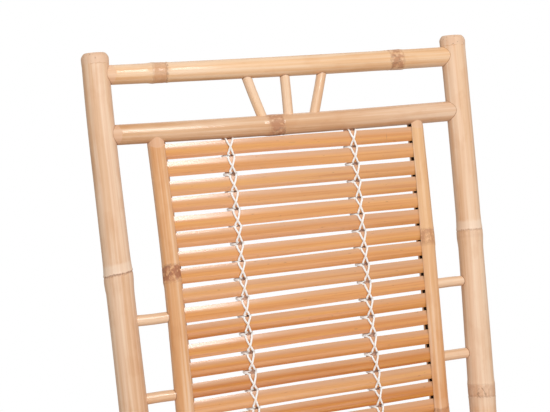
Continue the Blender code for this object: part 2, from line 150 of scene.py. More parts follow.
# How far the top of a pole leans to the right, and the share of its length below which it is straight
CROOKS = {"back_post_left": 0.0026}
CROOK_START = 0.86

# Slats and battens, and the grooves of the stiles
STRIP_SIDES = 40
STRIP_CUTS = 26
STRIP_ROUNDING = 0.9
STRIP_UNDERCUT = 0.12
STRIP_WIDEST = 0.967
STRIP_UNEVEN = 0.012
EDGE_WAVES = 1.7
FACE_WAVES = 1.3
FACE_WANDER = 0.4
SLAT_CROWN = 0.0017
CROWN_UNEVEN = 0.12
SLAT_WANDER = 0.00035
SLAT_GROWTH = 0.0012
SLAT_UNEVEN = 0.0004
SLAT_ROLL = math.radians(0.7)
SLAT_FADE = 0.7
SLAT_TIP = 0.001
KNOT_COUNTS = (0, 1, 1, 2)
KNOT_SLANT = 0.15
ROSE_BIAS = 1.5
GROOVE_SLACK = 0.0003
GROOVE_LIP = 0.0006
GROOVE_DEPTH = 0.005
GROOVE_SIDE = 0.6
# Strength of the near-black painted shade on the groove floors of the left and right stiles
GROOVE_PAINTED_SHADE = {"left": 0.1, "right": 1.0}
BATTEN_CROWN = 0.0003
BATTEN_WANDER = 0.0002
BATTEN_SHIFT = -0.0034
BATTEN_TRIMS = {"left": 0.0034, "right": 0.0016}

# Lacing
CORD_RADIUS = 0.0015
CORD_STEP = 0.0010
CORD_SIDES = 8
CORD_LAY = 0.0050

# The cord's way over a slat: u, share of the slat's width and lift where it crosses itself
CROSSING = (
    (-0.0047, 0.05, 0.0),
    (-0.0042, 0.15, 0.0),
    (-0.0022, 0.38, 0.1),
    (0.0, 0.56, 1.0),
    (0.0022, 0.80, 0.1),
    (0.0037, 0.97, 0.0),
)
CROSSING_SLIP = 0.11

# The cord's ways through the gaps: u from the batten's near side, v from the slat's edge, w from its face
FALL_IN = ((0.0030, -0.0006, -0.0030), (0.0055, 0.0006, 0.0008 - SLAT_CROWN))
FALL_OUT = (-0.0004, 0.0008, -0.0020)
RISE_IN = (0.0, -0.0008, -0.0020)
RISE_OUT = (0.0078, 0.0010, -0.0030)
RISE_TURN = 0.0040
GAP_SHIFT = 0.0005
FIRST_TURN = -0.0046
FIRST_DIP = 0.001
FIRST_GAP = 0.004

# Lay of the seen back slats, from the top, set in round numbers after measuring the photograph: millimetres
# below their even places, thousandths by which their right ends are turned up, degrees by which their upper
# edges are tipped back, and how pale they are
SLAT_DRIFTS = (1.5, 1.2, 1.8, 0.5, -0.3, -2.8, -1.7, -3.3, -3.5, -1.1, -2.5, -2.2, -0.7, 1.8, 1.3, 1.0)
SLAT_FANS = (-3, -3, 0, -4, 1, -2, 2, 4, 9, 13, 9, 12, 3, 9, 9, 8)
SLAT_TIPS = (-4, -1, -4, -3, 1, -3, -2, -2, -2, 4, -3, 5, 1, 1, 3, 2)
SLAT_TONES = (0.6, 0.8, 1.0, 0.85, 0.65, 0.6, 0.65, 0.5, 0.9, 0.5, 0.35, 0.3, 0.25, 0.0, 0.9, 0.0)
EVEN_SETTING = (0.0, 0.0, 0.0, None)

# Floor and light
FLOOR_SIDES = 96
FLOOR_RADIUS = 14.0
FLOOR_DROP = 0.0005
FLOOR_PAINT = (0.7, 0.7, 0.7, 1.0)
SHADOW_EDGE = (0.75, 1.2)
AIR_LIGHT = 0.48
AIR_COLOUR = (1.0, 0.965, 0.92)
WHITE = (1.0, 1.0, 1.0)

# Soft lamps: place, the point they face, width and height, and power
SOFTBOXES = {
    "key_softbox": ((0.131, -1.210, 2.692), (-0.029, 0.330, 1.022), (0.48, 1.10), 28.0),
    "left_softbox": ((-1.5, -1.6, 1.6), (0.0, 0.2, 0.75), (0.8, 1.4), 7.0),
    "low_softbox": ((0.4, -2.2, 0.55), (0.0, 0.2, 0.85), (1.2, 0.8), 6.0),
}

random_draw = random.Random(12)

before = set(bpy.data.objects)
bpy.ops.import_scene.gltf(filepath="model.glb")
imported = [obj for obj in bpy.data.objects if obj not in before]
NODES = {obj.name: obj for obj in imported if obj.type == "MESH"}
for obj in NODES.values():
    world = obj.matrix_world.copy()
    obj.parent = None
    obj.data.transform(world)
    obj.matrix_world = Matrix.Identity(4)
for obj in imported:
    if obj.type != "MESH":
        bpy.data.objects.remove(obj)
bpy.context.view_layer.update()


# Reading the frame


def read_field(items, field, parts=3):
    """One field of a mesh's points or faces, as rows of numbers."""
    values = np.empty(parts * len(items))
    items.foreach_get(field, values)
    return values.reshape(-1, parts)


def solid_points(node):
    """Distinct corner points of a node's solid."""
    return np.unique(read_field(NODES[node].data.vertices, "co").round(6), axis=0)


def solid_faces(node):
    """Centres, normals and areas of a node's faces."""
    faces = NODES[node].data.polygons
    return read_field(faces, "center"), read_field(faces, "normal"), read_field(faces, "area", 1)[:, 0]


class Line:
    """Axis of a pole: a point on it, its direction and the pole's radius there."""

    def __init__(self, point, along, radius):
        self.point = Vector(point)
        self.along = Vector(along).normalized()
        self.radius = radius

    def at(self, distance):
        return self.point + self.along * distance


class Pole(Line):
    """Axis of a straight pole in the frame, found from the flats of its solid.

    It runs upwards, to the right or to the rear, whichever it does most. Its point is its lower,
    left or front end, and rings lists the distances of its bamboo nodes from there.
    """

    def __init__(self, node):
        centres, normals, areas = solid_faces(node)
        sides = np.ones(len(areas), bool)
        for tolerance in SIDE_TOLERANCES:
            weighted = normals[sides] * areas[sides, None]
            along = np.linalg.eigh(weighted.T @ normals[sides])[1][:, 0]
            sides = np.abs(normals @ along) < tolerance
        along *= np.sign(along[np.abs(along).argmax()])
        across = sides
        for _ in range(FLAT_ROUNDS):
            rows = np.c_[normals[sides], np.ones(sides.sum())]
            offsets = (normals[sides] * centres[sides]).sum(axis=1)
            weight = np.sqrt(areas[sides])
            fit = np.linalg.lstsq(rows * weight[:, None], offsets * weight, rcond=None)[0]
            misfit = np.abs(normals @ fit[:3] + fit[3] - (normals * centres).sum(axis=1))
            sides = across & (misfit < max(FLAT_MISFIT, np.quantile(misfit[across], FLAT_SHARE)))
        middle = fit[:3]
        radius = float(fit[3]) / math.cos(math.pi / SOLID_FACETS)
        points = solid_points(node)
        reach = (points - middle) @ along
        spread = np.linalg.norm(points - middle - np.outer(reach, along), axis=1)
        proud = np.sort(reach[spread > radius + RING_RISE])
        starts = np.r_[True, np.diff(proud) > RING_SPACING] if len(proud) else np.zeros(0, bool)
        super().__init__(middle + reach.min() * along, along, radius)
        self.length = float(reach.max() - reach.min())
        self.rings = [float(place - reach.min()) for place in proud[starts]]
        self.girths = GIRTHS.get(node, EVEN_GIRTH)
        self.sag = Vector()
        self.sway = Vector()
        self.crook = Vector()

    def girth(self, share):
        return np.interp(share, np.linspace(0.0, 1.0, len(self.girths)), self.girths)

    def near(self, point):
        """Straight line that the grown pole follows close to a point."""
        distance = min(max((point - self.point).dot(self.along), 0.0), self.length)
        share = distance / self.length
        middle = self.at(distance) + Vector(self.bow(share))
        return Line(middle, self.along, self.radius * float(self.girth(share)))

    def bow(self, share):
        """How far the grown pole lies from its straight axis, at one or more shares of its length."""
        once = np.multiply.outer(np.sin(np.pi * share), np.array(self.sag))
        twice = np.multiply.outer(np.sin(2 * np.pi * share), np.array(self.sway))
        lean = (np.maximum(share - CROOK_START, 0.0) / (1.0 - CROOK_START)) ** 2
        return once + twice + np.multiply.outer(lean, np.array(self.crook))


class Rocker:
    """Arc of a rocker in the frame: its centre, the radius of its axis and its reach."""

    def __init__(self, node):
        points = solid_points(node)
        self.x = float(points[:, 0].min() + points[:, 0].max()) / 2
        aside = np.abs(points[:, 0] - self.x)
        flank = points[aside > FLANK_SHARE * aside.max()]
        centre = np.array((flank[:, 1].mean(), flank[:, 2].max() + ARC_GUESS))
        for _ in range(ARC_ROUNDS):
            arms = flank[:, 1:] - centre
            lengths = np.linalg.norm(arms, axis=1)
            rows = np.c_[arms / lengths[:, None], np.ones(len(arms))]
            step = np.linalg.lstsq(rows, lengths, rcond=None)[0]
            centre = centre + step[:2]
        self.axis_radius = float(step[2])
        self.centre = Vector((self.x, *centre))
        half_width = float(points[:, 0].max() - points[:, 0].min()) / 2
        self.radius = half_width / math.cos(math.pi / SOLID_FACETS)
        swing = np.arctan2(points[:, 1] - centre[0], centre[1] - points[:, 2])
        self.first = float(swing.min())
        self.last = float(swing.max())

    def at(self, swing):
        return self.centre + self.axis_radius * Vector((0.0, math.sin(swing), -math.cos(swing)))

    def near(self, point):
        """Straight line that touches the arc where a pole through the point stands on it."""
        swing = math.asin((point.y - self.centre.y) / self.axis_radius)
        return Line(self.at(swing), (0.0, math.cos(swing), math.sin(swing)), self.radius)


class Panel:
    """A slatted panel: u runs across the chair, v along the panel, w out of it to the sitter."""

    def __init__(self, first_rail, last_rail):
        first = POLES[first_rail]
        last = POLES[last_rail]
        self.origin = first.at(-first.point.x / first.along.x)
        end = last.at(-last.point.x / last.along.x)
        self.along = (end - self.origin).normalized()
        self.across = Vector((1.0, 0.0, 0.0))
        self.out = self.along.cross(self.across)
        if self.out.z < 0:
            self.out.negate()

    def at(self, u, v, w=0.0):
        return self.origin + self.across * u + self.along * v + self.out * w

    def place(self, u, v, w, lengthwise):
        """Matrix for a strip whose x runs across the panel, or along it, and whose z points out."""
        x_axis = self.along if lengthwise else self.across
        turn = Matrix((x_axis, self.out.cross(x_axis), self.out)).transposed()
        return Matrix.Translation(self.at(u, v, w)) @ turn.to_4x4()

    def local(self, node):
        """Corner points of a node's solid in u, v and w."""
        axes = np.array((self.across, self.along, self.out))
        return (solid_points(node) - np.array(self.origin)) @ axes.T

    def extent(self, node):
        """Lowest and highest u, v and w of a node's solid."""
        points = self.local(node)
        return points.min(axis=0), points.max(axis=0)


HANDS = ("left", "right")

# Poles with what their two ends sit on, lower, left or front end first
JOINTS = {
    "crest_rail": ("back_post_left", "back_post_right"),
    "head_rail": ("back_post_left", "back_post_right"),
    "ray_left": ("head_rail", "crest_rail"),
    "ray_middle": ("head_rail", "crest_rail"),
    "ray_right": ("head_rail", "crest_rail"),
    "seat_rear_rail": ("back_post_left", "back_post_right"),
    "seat_front_rail": ("front_leg_left", "front_leg_right"),
    "front_stretcher": ("front_leg_left", "front_leg_right"),
    "rear_stretcher": ("back_post_left", "back_post_right"),
}
for hand in HANDS:
    JOINTS["back_post_" + hand] = ("rocker_" + hand, None)
    JOINTS["back_stile_" + hand] = ("seat_rear_rail", "head_rail")
    JOINTS["arm_" + hand] = (None, "back_post_" + hand)
    JOINTS["front_leg_" + hand] = ("rocker_" + hand, "arm_" + hand)
    JOINTS["seat_side_rail_" + hand] = ("front_leg_" + hand, "back_post_" + hand)
    JOINTS["seat_stile_" + hand] = ("seat_front_rail", "seat_rear_rail")
    for level in ("upper", "lower"):
        carriers = ("back_post_" + hand, "back_stile_" + hand)
        JOINTS["back_rung_%s_%s" % (level, hand)] = carriers if hand == "left" else carriers[::-1]

POLES = {node: Pole(node) for node in JOINTS}
ROCKERS = {"rocker_" + hand: Rocker("rocker_" + hand) for hand in HANDS}
CARRIERS = {**POLES, **ROCKERS}
BACK = Panel("crest_rail", "seat_rear_rail")
SEAT = Panel("seat_rear_rail", "seat_front_rail")
for node, pole in POLES.items():
    if node in SAGS:
        pole.sag = BACK.along * SAGS[node]
    elif node in SWAYS:
        pole.sag = BACK.across * SWAYS[node][0]
        pole.sway = BACK.across * SWAYS[node][1]
    elif "stile" not in node:
        aside = Matrix.Rotation(random_draw.uniform(0, 6), 3, pole.along) @ pole.along.orthogonal()
        pole.sag = aside.normalized() * POLE_BOW
    pole.crook = BACK.across * CROOKS.get(node, 0.0)


@dataclass
class NodeLook:
    """How one bamboo node looks: its band, scar and bud, and the side of the scar its band is on."""

    width: float
    brown: float
    pale: float
    mottle: float
    scar: float
    swell: float
    side: int = 1
    tilt: tuple = None
    bud: float = None
    shift: float = 0.0


LINED = NodeLook(width=0.011, brown=0.05, pale=0.4, mottle=0.2, scar=1.0, swell=0.0012)
BANDED = NodeLook(width=0.020, brown=0.62, pale=0.0, mottle=0.3, scar=0.8, swell=0.0006)
RINGED = NodeLook(width=0.019, brown=0.75, pale=0.1, mottle=0.55, scar=0.5, swell=0.0006)
MOTTLED = NodeLook(width=0.024, brown=0.70, pale=0.0, mottle=1.0, scar=0.35, swell=0.0007)

# Looks of the nodes that were seen, from each pole's lower or left end
SEEN_NODES = {
    "crest_rail": (
        replace(BANDED, brown=0.78, side=-1, tilt=(0.10, -0.03), shift=0.0070),
        replace(MOTTLED, width=0.021, tilt=(0.10, 0.12), bud=0.1, shift=-0.014),
    ),
    "head_rail": (replace(MOTTLED, scar=0.6, side=-1, tilt=(0.04, 0.02), bud=0.7, shift=0.005),),
    "back_post_left": (None, None, None, replace(LINED, side=-1, tilt=(0.02, 0.13))),
    "back_post_right": (
        None,
        None,
        replace(RINGED, brown=0.4, tilt=(0.03, -0.05), bud=-0.5),
        replace(LINED, brown=0.14, mottle=0.9, scar=0.6, side=-1, tilt=(0.02, 0.03)),
    ),
    "back_stile_left": (
        None,
        replace(MOTTLED, brown=1.0, side=-1, tilt=(0.12, -0.10), bud=-2.2, shift=0.016),
    ),
    "back_stile_right": (None, replace(MOTTLED, brown=0.6, side=-1, tilt=(0.1, 0.1), shift=0.0095)),
}


def uneven(most):
    """Random step either way."""
    return random_draw.uniform(-most, most)


def node_looks(node, rings):
    """Places and looks of a pole's nodes: those that were seen, and others drawn at random."""
    seen = SEEN_NODES.get(node, ())
    looks = []
    for index in range(len(rings)):
        drawn = replace(
            random_draw.choice((LINED, BANDED, RINGED, MOTTLED)),
            side=random_draw.choice((-1, 1)),
            tilt=(uneven(MOST_TILT), uneven(MOST_TILT)),
            bud=uneven(math.pi),
        )
        known = seen[index] if index < len(seen) else None
        looks.append(known or drawn)
    return [ring + look.shift for ring, look in zip(rings, looks)], looks


# Materials


class Channel:
    """One output in a tree of nodes. Python's operators on it add Math nodes."""

    def __init__(self, tree, socket=None):
        self.tree = tree
        self.socket = socket

    def node(self, kind, settings=None, inputs=None, output=0):
        """Adds a node, sets it up, feeds its inputs and returns one of its outputs."""
        made = self.tree.nodes.new(kind)
        for name, value in (settings or {}).items():
            if name == "stops":
                set_stops(made.color_ramp, value)
            else:
                setattr(made, name, value)
        for key, value in (inputs or {}).items():
            if isinstance(value, Channel):
                self.tree.links.new(value.socket, made.inputs[key])
            else:
                made.inputs[key].default_value = value
        return Channel(self.tree, made.outputs[output])

    def math(self, operation, first, second=0.0):
        return self.node("ShaderNodeMath", {"operation": operation}, {0: first, 1: second})

    def __add__(self, other):
        return self.math("ADD", self, other)

    def __radd__(self, other):
        return self.math("ADD", other, self)

    def __sub__(self, other):
        return self.math("SUBTRACT", self, other)

    def __rsub__(self, other):
        return self.math("SUBTRACT", other, self)

    def __mul__(self, other):
        return self.math("MULTIPLY", self, other)

    def __rmul__(self, other):
        return self.math("MULTIPLY", other, self)

    def __abs__(self):
        return self.math("ABSOLUTE", self)

    def step(self, low, high):
        """0 below low, 1 above high, and a smooth rise between them. Low above high falls instead."""
        return self.node(
            "ShaderNodeMapRange", {"interpolation_type": "SMOOTHSTEP"}, {0: self, 1: low, 2: high}
        )

    def stretched(self, x, y, z):
        """The vector with each of its parts multiplied."""
        return self.node("ShaderNodeVectorMath", {"operation": "MULTIPLY"}, {0: self, 1: (x, y, z)})

    def noise(self, detail=3.0, roughness=0.55):
        """Noise over this vector, from 0 to 1."""
        inputs = {"Vector": self, "Scale": 1.0, "Detail": detail, "Roughness": roughness}
        return self.node("ShaderNodeTexNoise", None, inputs)

    def coloured(self, stops):
        """Colour of a ramp at this value."""
        return self.node("ShaderNodeValToRGB", {"stops": stops}, {0: self})

    def mixed(self, colour, share, blend="MIX"):
        """This colour turned into another colour by a share."""
        settings = {"data_type": "RGBA", "clamp_factor": True, "blend_type": blend}
        return self.node("ShaderNodeMix", settings, {0: share, 6: self, 7: (*colour, 1.0)}, 2)

    def stained(self, colour, share):
        """This colour multiplied by another colour by a share."""
        return self.mixed(colour, share, "MULTIPLY")

    def part(self, axis):
        """The x, y or z of this vector."""
        return self.node("ShaderNodeSeparateXYZ", None, {0: self}, axis)


def set_stops(ramp, stops):
    while len(ramp.elements) < len(stops):
        ramp.elements.new(1.0)
    for element, (position, colour) in zip(ramp.elements, stops):
        element.position = position
        element.color = (*colour, 1.0)


def new_finish(name, **constants):
    """A material with its shader's constant sockets set, and a channel to build its nodes from."""
    material = bpy.data.materials.new(name)
    material.use_nodes = True
    tree = material.node_tree
    shader = tree.nodes["Principled BSDF"]
    for socket, value in constants.items():
        shader.inputs[socket.replace("_", " ")].default_value = value
    return material, shader, Channel(tree).node("ShaderNodeTexCoord", output="Object")


def feed(shader, **channels):
    """Links channels to the sockets of a shader."""
    for socket, channel in channels.items():
        channel.tree.links.new(channel.socket, shader.inputs[socket.replace("_", " ")])


def attribute(channel, name, output="Vector"):
    return channel.node("ShaderNodeAttribute", {"attribute_name": name}, None, output)


def bump(channel, height, distance):
    inputs = {"Strength": 1.0, "Distance": distance, "Height": height}
    return channel.node("ShaderNodeBump", None, inputs)


# Colours on a pole's skin: shades are multiplied with it, the others are laid over it
BAND_SHADE = (0.91, 0.83, 0.73)
BAND_LIGHT = (0.95, 0.78, 0.60)
SIDE_SHADE = (0.90, 0.80, 0.68)
SIDE_LIGHT = (0.93, 0.73, 0.56)
CLOUD_SHADE = (0.92, 0.84, 0.77)
FIBRE_SHADE = (0.76, 0.64, 0.54)
SPECK_BROWN = (0.24, 0.12, 0.07)
NODE_PALE = (0.95, 0.79, 0.65)
NODE_BROWN = (0.58, 0.280, 0.130)
PATCH_BROWN = (0.43, 0.185, 0.100)
PATCH_PALE = (0.80, 0.54, 0.37)
RIM_BROWN = (0.40, 0.21, 0.12)
CRACK_BROWN = (0.34, 0.165, 0.100)
BUD_BROWN = (0.33, 0.18, 0.11)
SANDED_PALE = (0.80, 0.525, 0.375)
# Dark line at a coped end where it meets its pole: partly joint colour, partly painted contact shadow
SEAM_DARK_AND_SHADOW = (0.36, 0.23, 0.16)
CAP_PALE = (0.79, 0.545, 0.395)
CAP_SHADE = (0.72, 0.55, 0.42)
PIT_BROWN = (0.25, 0.14, 0.09)
# Near-black painted shade on the floor of a stile's groove
SLOT_PAINTED_SHADOW = (0.035, 0.018, 0.010)

# Colours of the slats, the battens and the cord
SLAT_RAMP = [
    (0.0, (0.585, 0.201, 0.008)),
    (0.35, (0.700, 0.284, 0.056)),
    (0.65, (0.736, 0.330, 0.098)),
    (1.0, (0.720, 0.350, 0.122)),
]
SLAT_ROSE = (0.655, 0.310, 0.130)
SLAT_BAND_LIGHT = (0.80, 0.40, 0.09)
SLAT_BAND_SHADE = (0.88, 0.78, 0.62)
STREAK_SHADE = (0.82, 0.69, 0.53)
STREAK_LIGHT = (0.79, 0.42, 0.13)
# Darker lower edge of a slat: partly the colour of the cut edge, partly painted shade
LOWER_EDGE_DARK_AND_SHADE = (0.86, 0.72, 0.50)
# Painted shade on the upper half of a slat's face
UPPER_PAINTED_SHADE = (0.61, 0.35, 0.215)
SLAT_FIBRE_SHADE = (0.62, 0.48, 0.36)
DASH_BROWN = (0.25, 0.11, 0.04)
KNOT_BROWN = (0.36, 0.17, 0.08)
BATTEN_RAMP = [(0.3, (0.80, 0.54, 0.41)), (0.7, (0.68, 0.43, 0.31))]
BATTEN_FIBRE = (0.18, 0.09, 0.05)
# White of the cord, darker in the lay between the strands as painted shade
CORD_RAMP_WITH_LAY_SHADE = [(0.0, (0.94, 0.92, 0.88)), (0.35, (0.99, 0.985, 0.97))]
CORD_SOIL = (0.94, 0.91, 0.85)


def pole_finish(name, coat, gloss, relief):
    """Lacquered bamboo skin: long fibres, soft bands, brown node scars, sanded and coped ends."""
    material, shader, start = new_finish(
        name, Coat_Roughness=gloss, Coat_IOR=1.55, IOR=1.45, Specular_IOR_Level=0.20
    )
    grain = attribute(start, "grain")
    marks = attribute(start, "marks")
    ring = attribute(start, "ring")
    ends = attribute(start, "ends")
    line = attribute(start, "scar", "Fac")
    seam = attribute(start, "seam", "Fac")
    beside = marks.part(0)
    width = marks.part(1)
    bud = marks.part(2)
    brown = ring.part(0)
    mottle = ring.part(2)
    fibres = grain.stretched(1100.0, 1100.0, 14.0).noise(4.0, 0.6)
    bands = grain.stretched(190.0, 190.0, 2.2).noise(2.0)
    sides = grain.stretched(62.0, 62.0, 3.5).noise(2.0)
    cloud = grain.stretched(45.0, 45.0, 24.0).noise(3.0)
    specks = grain.stretched(380.0, 380.0, 240.0).noise(2.0, 0.4)
    pits = grain.stretched(430.0, 430.0, 430.0).noise(1.0, 0.4)
    ragged = grain.stretched(260.0, 260.0, 260.0).noise(3.0) - 0.5
    blotch = grain.stretched(190.0, 190.0, 140.0).noise(3.0, 0.6)

    skin = attribute(start, "skin", "Color")
    skin = skin.stained(BAND_SHADE, bands.step(0.47, 0.62) * 0.6)
    skin = skin.mixed(BAND_LIGHT, bands.step(0.47, 0.34) * 0.32)
    skin = skin.stained(SIDE_SHADE, sides.step(0.49, 0.62) * 0.6)
    skin = skin.mixed(SIDE_LIGHT, sides.step(0.48, 0.36) * 0.30)
    skin = skin.stained(CLOUD_SHADE, cloud.step(0.50, 0.66) * 0.5)
    skin = skin.stained(FIBRE_SHADE, fibres.step(0.53, 0.70) * 0.3)
    skin = skin.mixed(SPECK_BROWN, specks.step(0.78, 0.84) * 0.5)

    wavering = beside + ragged * 0.0030
    frayed = beside + ragged * 0.0060
    within = wavering.step(-0.0006, 0.0012) * (width - frayed).step(-0.0008, 0.0030)
    patches = mottle * blotch.step(0.33, 0.57)
    pale_zone = frayed.step(-0.0175, -0.0120) * wavering.step(0.0006, -0.0020) * ring.part(1)
    skin = skin.mixed(NODE_PALE, pale_zone)
    skin = skin.mixed(NODE_BROWN, within * brown * (1.0 - mottle) * 0.85)
    skin = skin.mixed(PATCH_BROWN, within * brown * patches)
    skin = skin.mixed(PATCH_PALE, within * mottle * blotch.step(0.46, 0.28) * 0.35)
    rim = abs(frayed - width).step(0.0013, 0.0003) * brown
    skin = skin.mixed(RIM_BROWN, rim * 0.40)
    torn = grain.stretched(420.0, 420.0, 420.0).noise(2.0) - 0.5
    crack = abs(wavering + torn * 0.0060).step(0.0023, 0.0006) * line
    skin = skin.mixed(CRACK_BROWN, crack * (0.25 + torn.step(-0.09, 0.05) * 0.42))
    eye = abs(bud + ragged * 1.3 - 0.80).step(0.30, 0.05) * blotch.step(0.34, 0.52)
    skin = skin.mixed(BUD_BROWN, eye * 0.5)

    sanded = (ends.part(0) + ragged * 0.0016).step(0.0046, 0.0028)
    skin = skin.mixed(SANDED_PALE, sanded * 0.5)
    # Dark joint line with painted contact shadow, close to where the coped end meets its pole
    seam_dark_and_shadow = seam.step(0.0030, 0.0010)
    skin = skin.stained(SEAM_DARK_AND_SHADOW, seam_dark_and_shadow * (0.9 - sanded * 0.3))
    capped = ends.part(1) + ragged * 0.5
    cap = capped.step(0.35, 0.50)
    skin = skin.mixed(CAP_PALE, cap * 0.5)
    worn = abs(capped - 0.38).step(0.10, 0.03) * cloud.step(0.42, 0.56)
    skin = skin.stained(CAP_SHADE, worn * 0.5)
    skin = skin.mixed(PIT_BROWN, cap * pits.step(0.70, 0.74) * 0.8)
    # Near-black painted shade on the floor of a groove, left matt
    slot = ends.part(2).step(0.04, 0.25)
    skin = skin.mixed(SLOT_PAINTED_SHADOW, slot)

    matt = start.math("MAXIMUM", sanded, start.math("MAXIMUM", cap * 0.9, slot))
    feed(
        shader,
        Base_Color=skin,
        Roughness=0.42 + fibres * 0.14 + matt * 0.25 + crack * 0.2,
        Coat_Weight=coat * (1.0 - matt) * (1.0 - within * brown * 0.6),
        Normal=bump(start, fibres * 0.3 + blotch * within * mottle * 1.4, relief),
    )
    return material


def slat_finish():
    """Split bamboo under glossy lacquer: each slat its own tone, with long straight fibres. The upper half
    of the face carries painted shade; the lower edge is darker, partly cut-edge colour and partly painted
    shade.
    """
    material, shader, start = new_finish(
        "slat_lacquer", Coat_Roughness=0.19, Coat_IOR=1.6, IOR=1.45, Specular_IOR_Level=0.30
    )
    grain = attribute(start, "grain")
    marks = attribute(start, "marks")
    tone = attribute(start, "tone", "Fac")
    fibres = grain.stretched(12.0, 1500.0, 1500.0).noise(4.0, 0.62)
    bands = grain.stretched(2.6, 240.0, 60.0).noise(3.0)
    streaks = grain.stretched(7.0, 480.0, 90.0).noise(3.0, 0.6)
    cloud = grain.stretched(13.0, 60.0, 60.0).noise(3.0)
    specks = grain.stretched(90.0, 460.0, 460.0).noise(2.0, 0.4)

    skin = tone.coloured(SLAT_RAMP)
    rosy = (marks.part(0) * 0.6 + cloud.step(0.5, 0.65) * 0.3) * tone
    skin = skin.mixed(SLAT_ROSE, rosy)
    skin = skin.mixed(SLAT_BAND_LIGHT, bands.step(0.48, 0.36) * 0.35)
    skin = skin.stained(SLAT_BAND_SHADE, bands.step(0.49, 0.63) * 0.7)
    skin = skin.stained(STREAK_SHADE, streaks.step(0.53, 0.68) * 0.35)
    skin = skin.mixed(STREAK_LIGHT, streaks.step(0.46, 0.34) * 0.2)
    # Lower edge darker: cut-edge colour and painted shade
    skin = skin.stained(LOWER_EDGE_DARK_AND_SHADE, marks.part(2).step(0.25, 0.9) * 0.75)
    # Painted shade on the upper half of the face
    skin = skin.mixed(UPPER_PAINTED_SHADE, marks.part(2).step(-0.05, -0.7) * 0.65)
    skin = skin.stained(SLAT_FIBRE_SHADE, fibres.step(0.55, 0.72) * 0.18)
    skin = skin.mixed(DASH_BROWN, specks.step(0.69, 0.78) * 0.5)
    skin = skin.mixed(KNOT_BROWN, marks.part(1).step(0.0012, 0.0002) * 0.5)
    feed(
        shader,
        Base_Color=skin,
        Roughness=0.40 + fibres * 0.16,
        Coat_Weight=0.70 + bands * 0.3,
        Normal=bump(start, fibres * 0.12 + bands * 0.3, 0.0003),
    )
    return material


def batten_finish():
    """Planed bamboo strip, unlacquered, with short dark fibre ends."""
    material, shader, start = new_finish("batten_bamboo", IOR=1.45, Specular_IOR_Level=0.3)
    grain = attribute(start, "grain")
    fibres = grain.stretched(20.0, 1300.0, 1300.0).noise(4.0, 0.6)
    bands = grain.stretched(5.0, 260.0, 120.0).noise(3.0)
    skin = bands.coloured(BATTEN_RAMP)
    skin = skin.mixed(BATTEN_FIBRE, fibres.step(0.56, 0.76) * 0.3)
    feed(
        shader,
        Base_Color=skin,
        Roughness=0.52 + fibres * 0.2,
        Normal=bump(start, fibres + bands, 0.0003),
    )
    return material


def cord_finish():
    """White twisted cord: two strands laid round each other, with painted shade in the lay between them and
    slight soiling in patches.
    """
    material, shader, start = new_finish(
        "lacing_cord", IOR=1.45, Specular_IOR_Level=0.2, Sheen_Weight=0.2, Sheen_Roughness=0.5
    )
    lay = attribute(start, "lay")
    turn = lay.part(2) * (2 * math.pi / CORD_LAY)
    twist = lay.part(0) * start.math("SINE", turn) + lay.part(1) * start.math("COSINE", turn)
    ply = twist * 0.5 + 0.5
    hairs = start.stretched(2600.0, 2600.0, 2600.0).noise(2.0)
    stain = start.stretched(22.0, 22.0, 22.0).noise(2.0)
    # The lay between the strands carries painted shade
    skin = ply.coloured(CORD_RAMP_WITH_LAY_SHADE)
    skin = skin.mixed(CORD_SOIL, stain.step(0.55, 0.85) * 0.3)
    feed(
        shader,
        Base_Color=skin,
        Roughness=0.72 + hairs * 0.2,
        Normal=bump(start, ply + hairs * 0.3, 0.00016),
    )
    return material


POST_SKIN = pole_finish("post_lacquer", 0.16, 0.30, 0.00035)
RAIL_SKIN = pole_finish("rail_lacquer", 0.34, 0.13, 0.0002)
SLAT_SKIN = slat_finish()
BATTEN_SKIN = batten_finish()
CORD_SKIN = cord_finish()

# Skin colours of the poles
BEIGE = (0.850, 0.590, 0.405)
TAN = (0.855, 0.565, 0.340)
ROSY = (0.710, 0.437, 0.250)
BLUSH = (0.765, 0.505, 0.335)
SAND = (0.820, 0.562, 0.386)
AMBER = (0.775, 0.440, 0.225)
HONEY = (0.860, 0.565, 0.325)
SPICE = (0.700, 0.300, 0.105)
STRAW = (0.845, 0.580, 0.385)


# Making pieces


def set_attribute(mesh, name, values):
    """Stores a number or a vector at every point of a mesh, for its finish."""
    values = np.asarray(values, np.float32)
    kind, field = ("FLOAT_VECTOR", "vector") if values.ndim == 2 else ("FLOAT", "value")
    layer = mesh.attributes.new(name, kind, "POINT")
    layer.data.foreach_set(field, values.ravel())


def move_points(mesh, places):
    mesh.vertices.foreach_set("co", places.ravel())
    mesh.update()


def add_object(name, data):
    """Object of that name, linked into the scene."""
    thing = bpy.data.objects.new(name, data)
    bpy.context.scene.collection.objects.link(thing)
    return thing


def finished_piece(name, mesh, material, slot, *nodes):
    """Object for a finished mesh, riding with the chair and standing for its solids."""
    mesh.materials.append(material)
    mesh.shade_smooth()
    mesh.set_sharp_from_angle(angle=SHARP_EDGE)
    piece = add_object(name, mesh)
    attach(piece, "root")
    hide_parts(*nodes)


def random_offset():
    """Step that gives a piece its own place in the grain."""
    return np.array([uneven(GRAIN_STEP) for _ in range(3)])


def random_phases():
    return [random_draw.uniform(0, 6) for _ in range(3)]


def mesh_of(shape, name):
    mesh = bpy.data.meshes.new(name)
    shape.to_mesh(mesh)
    shape.free()
    return mesh


# Poles


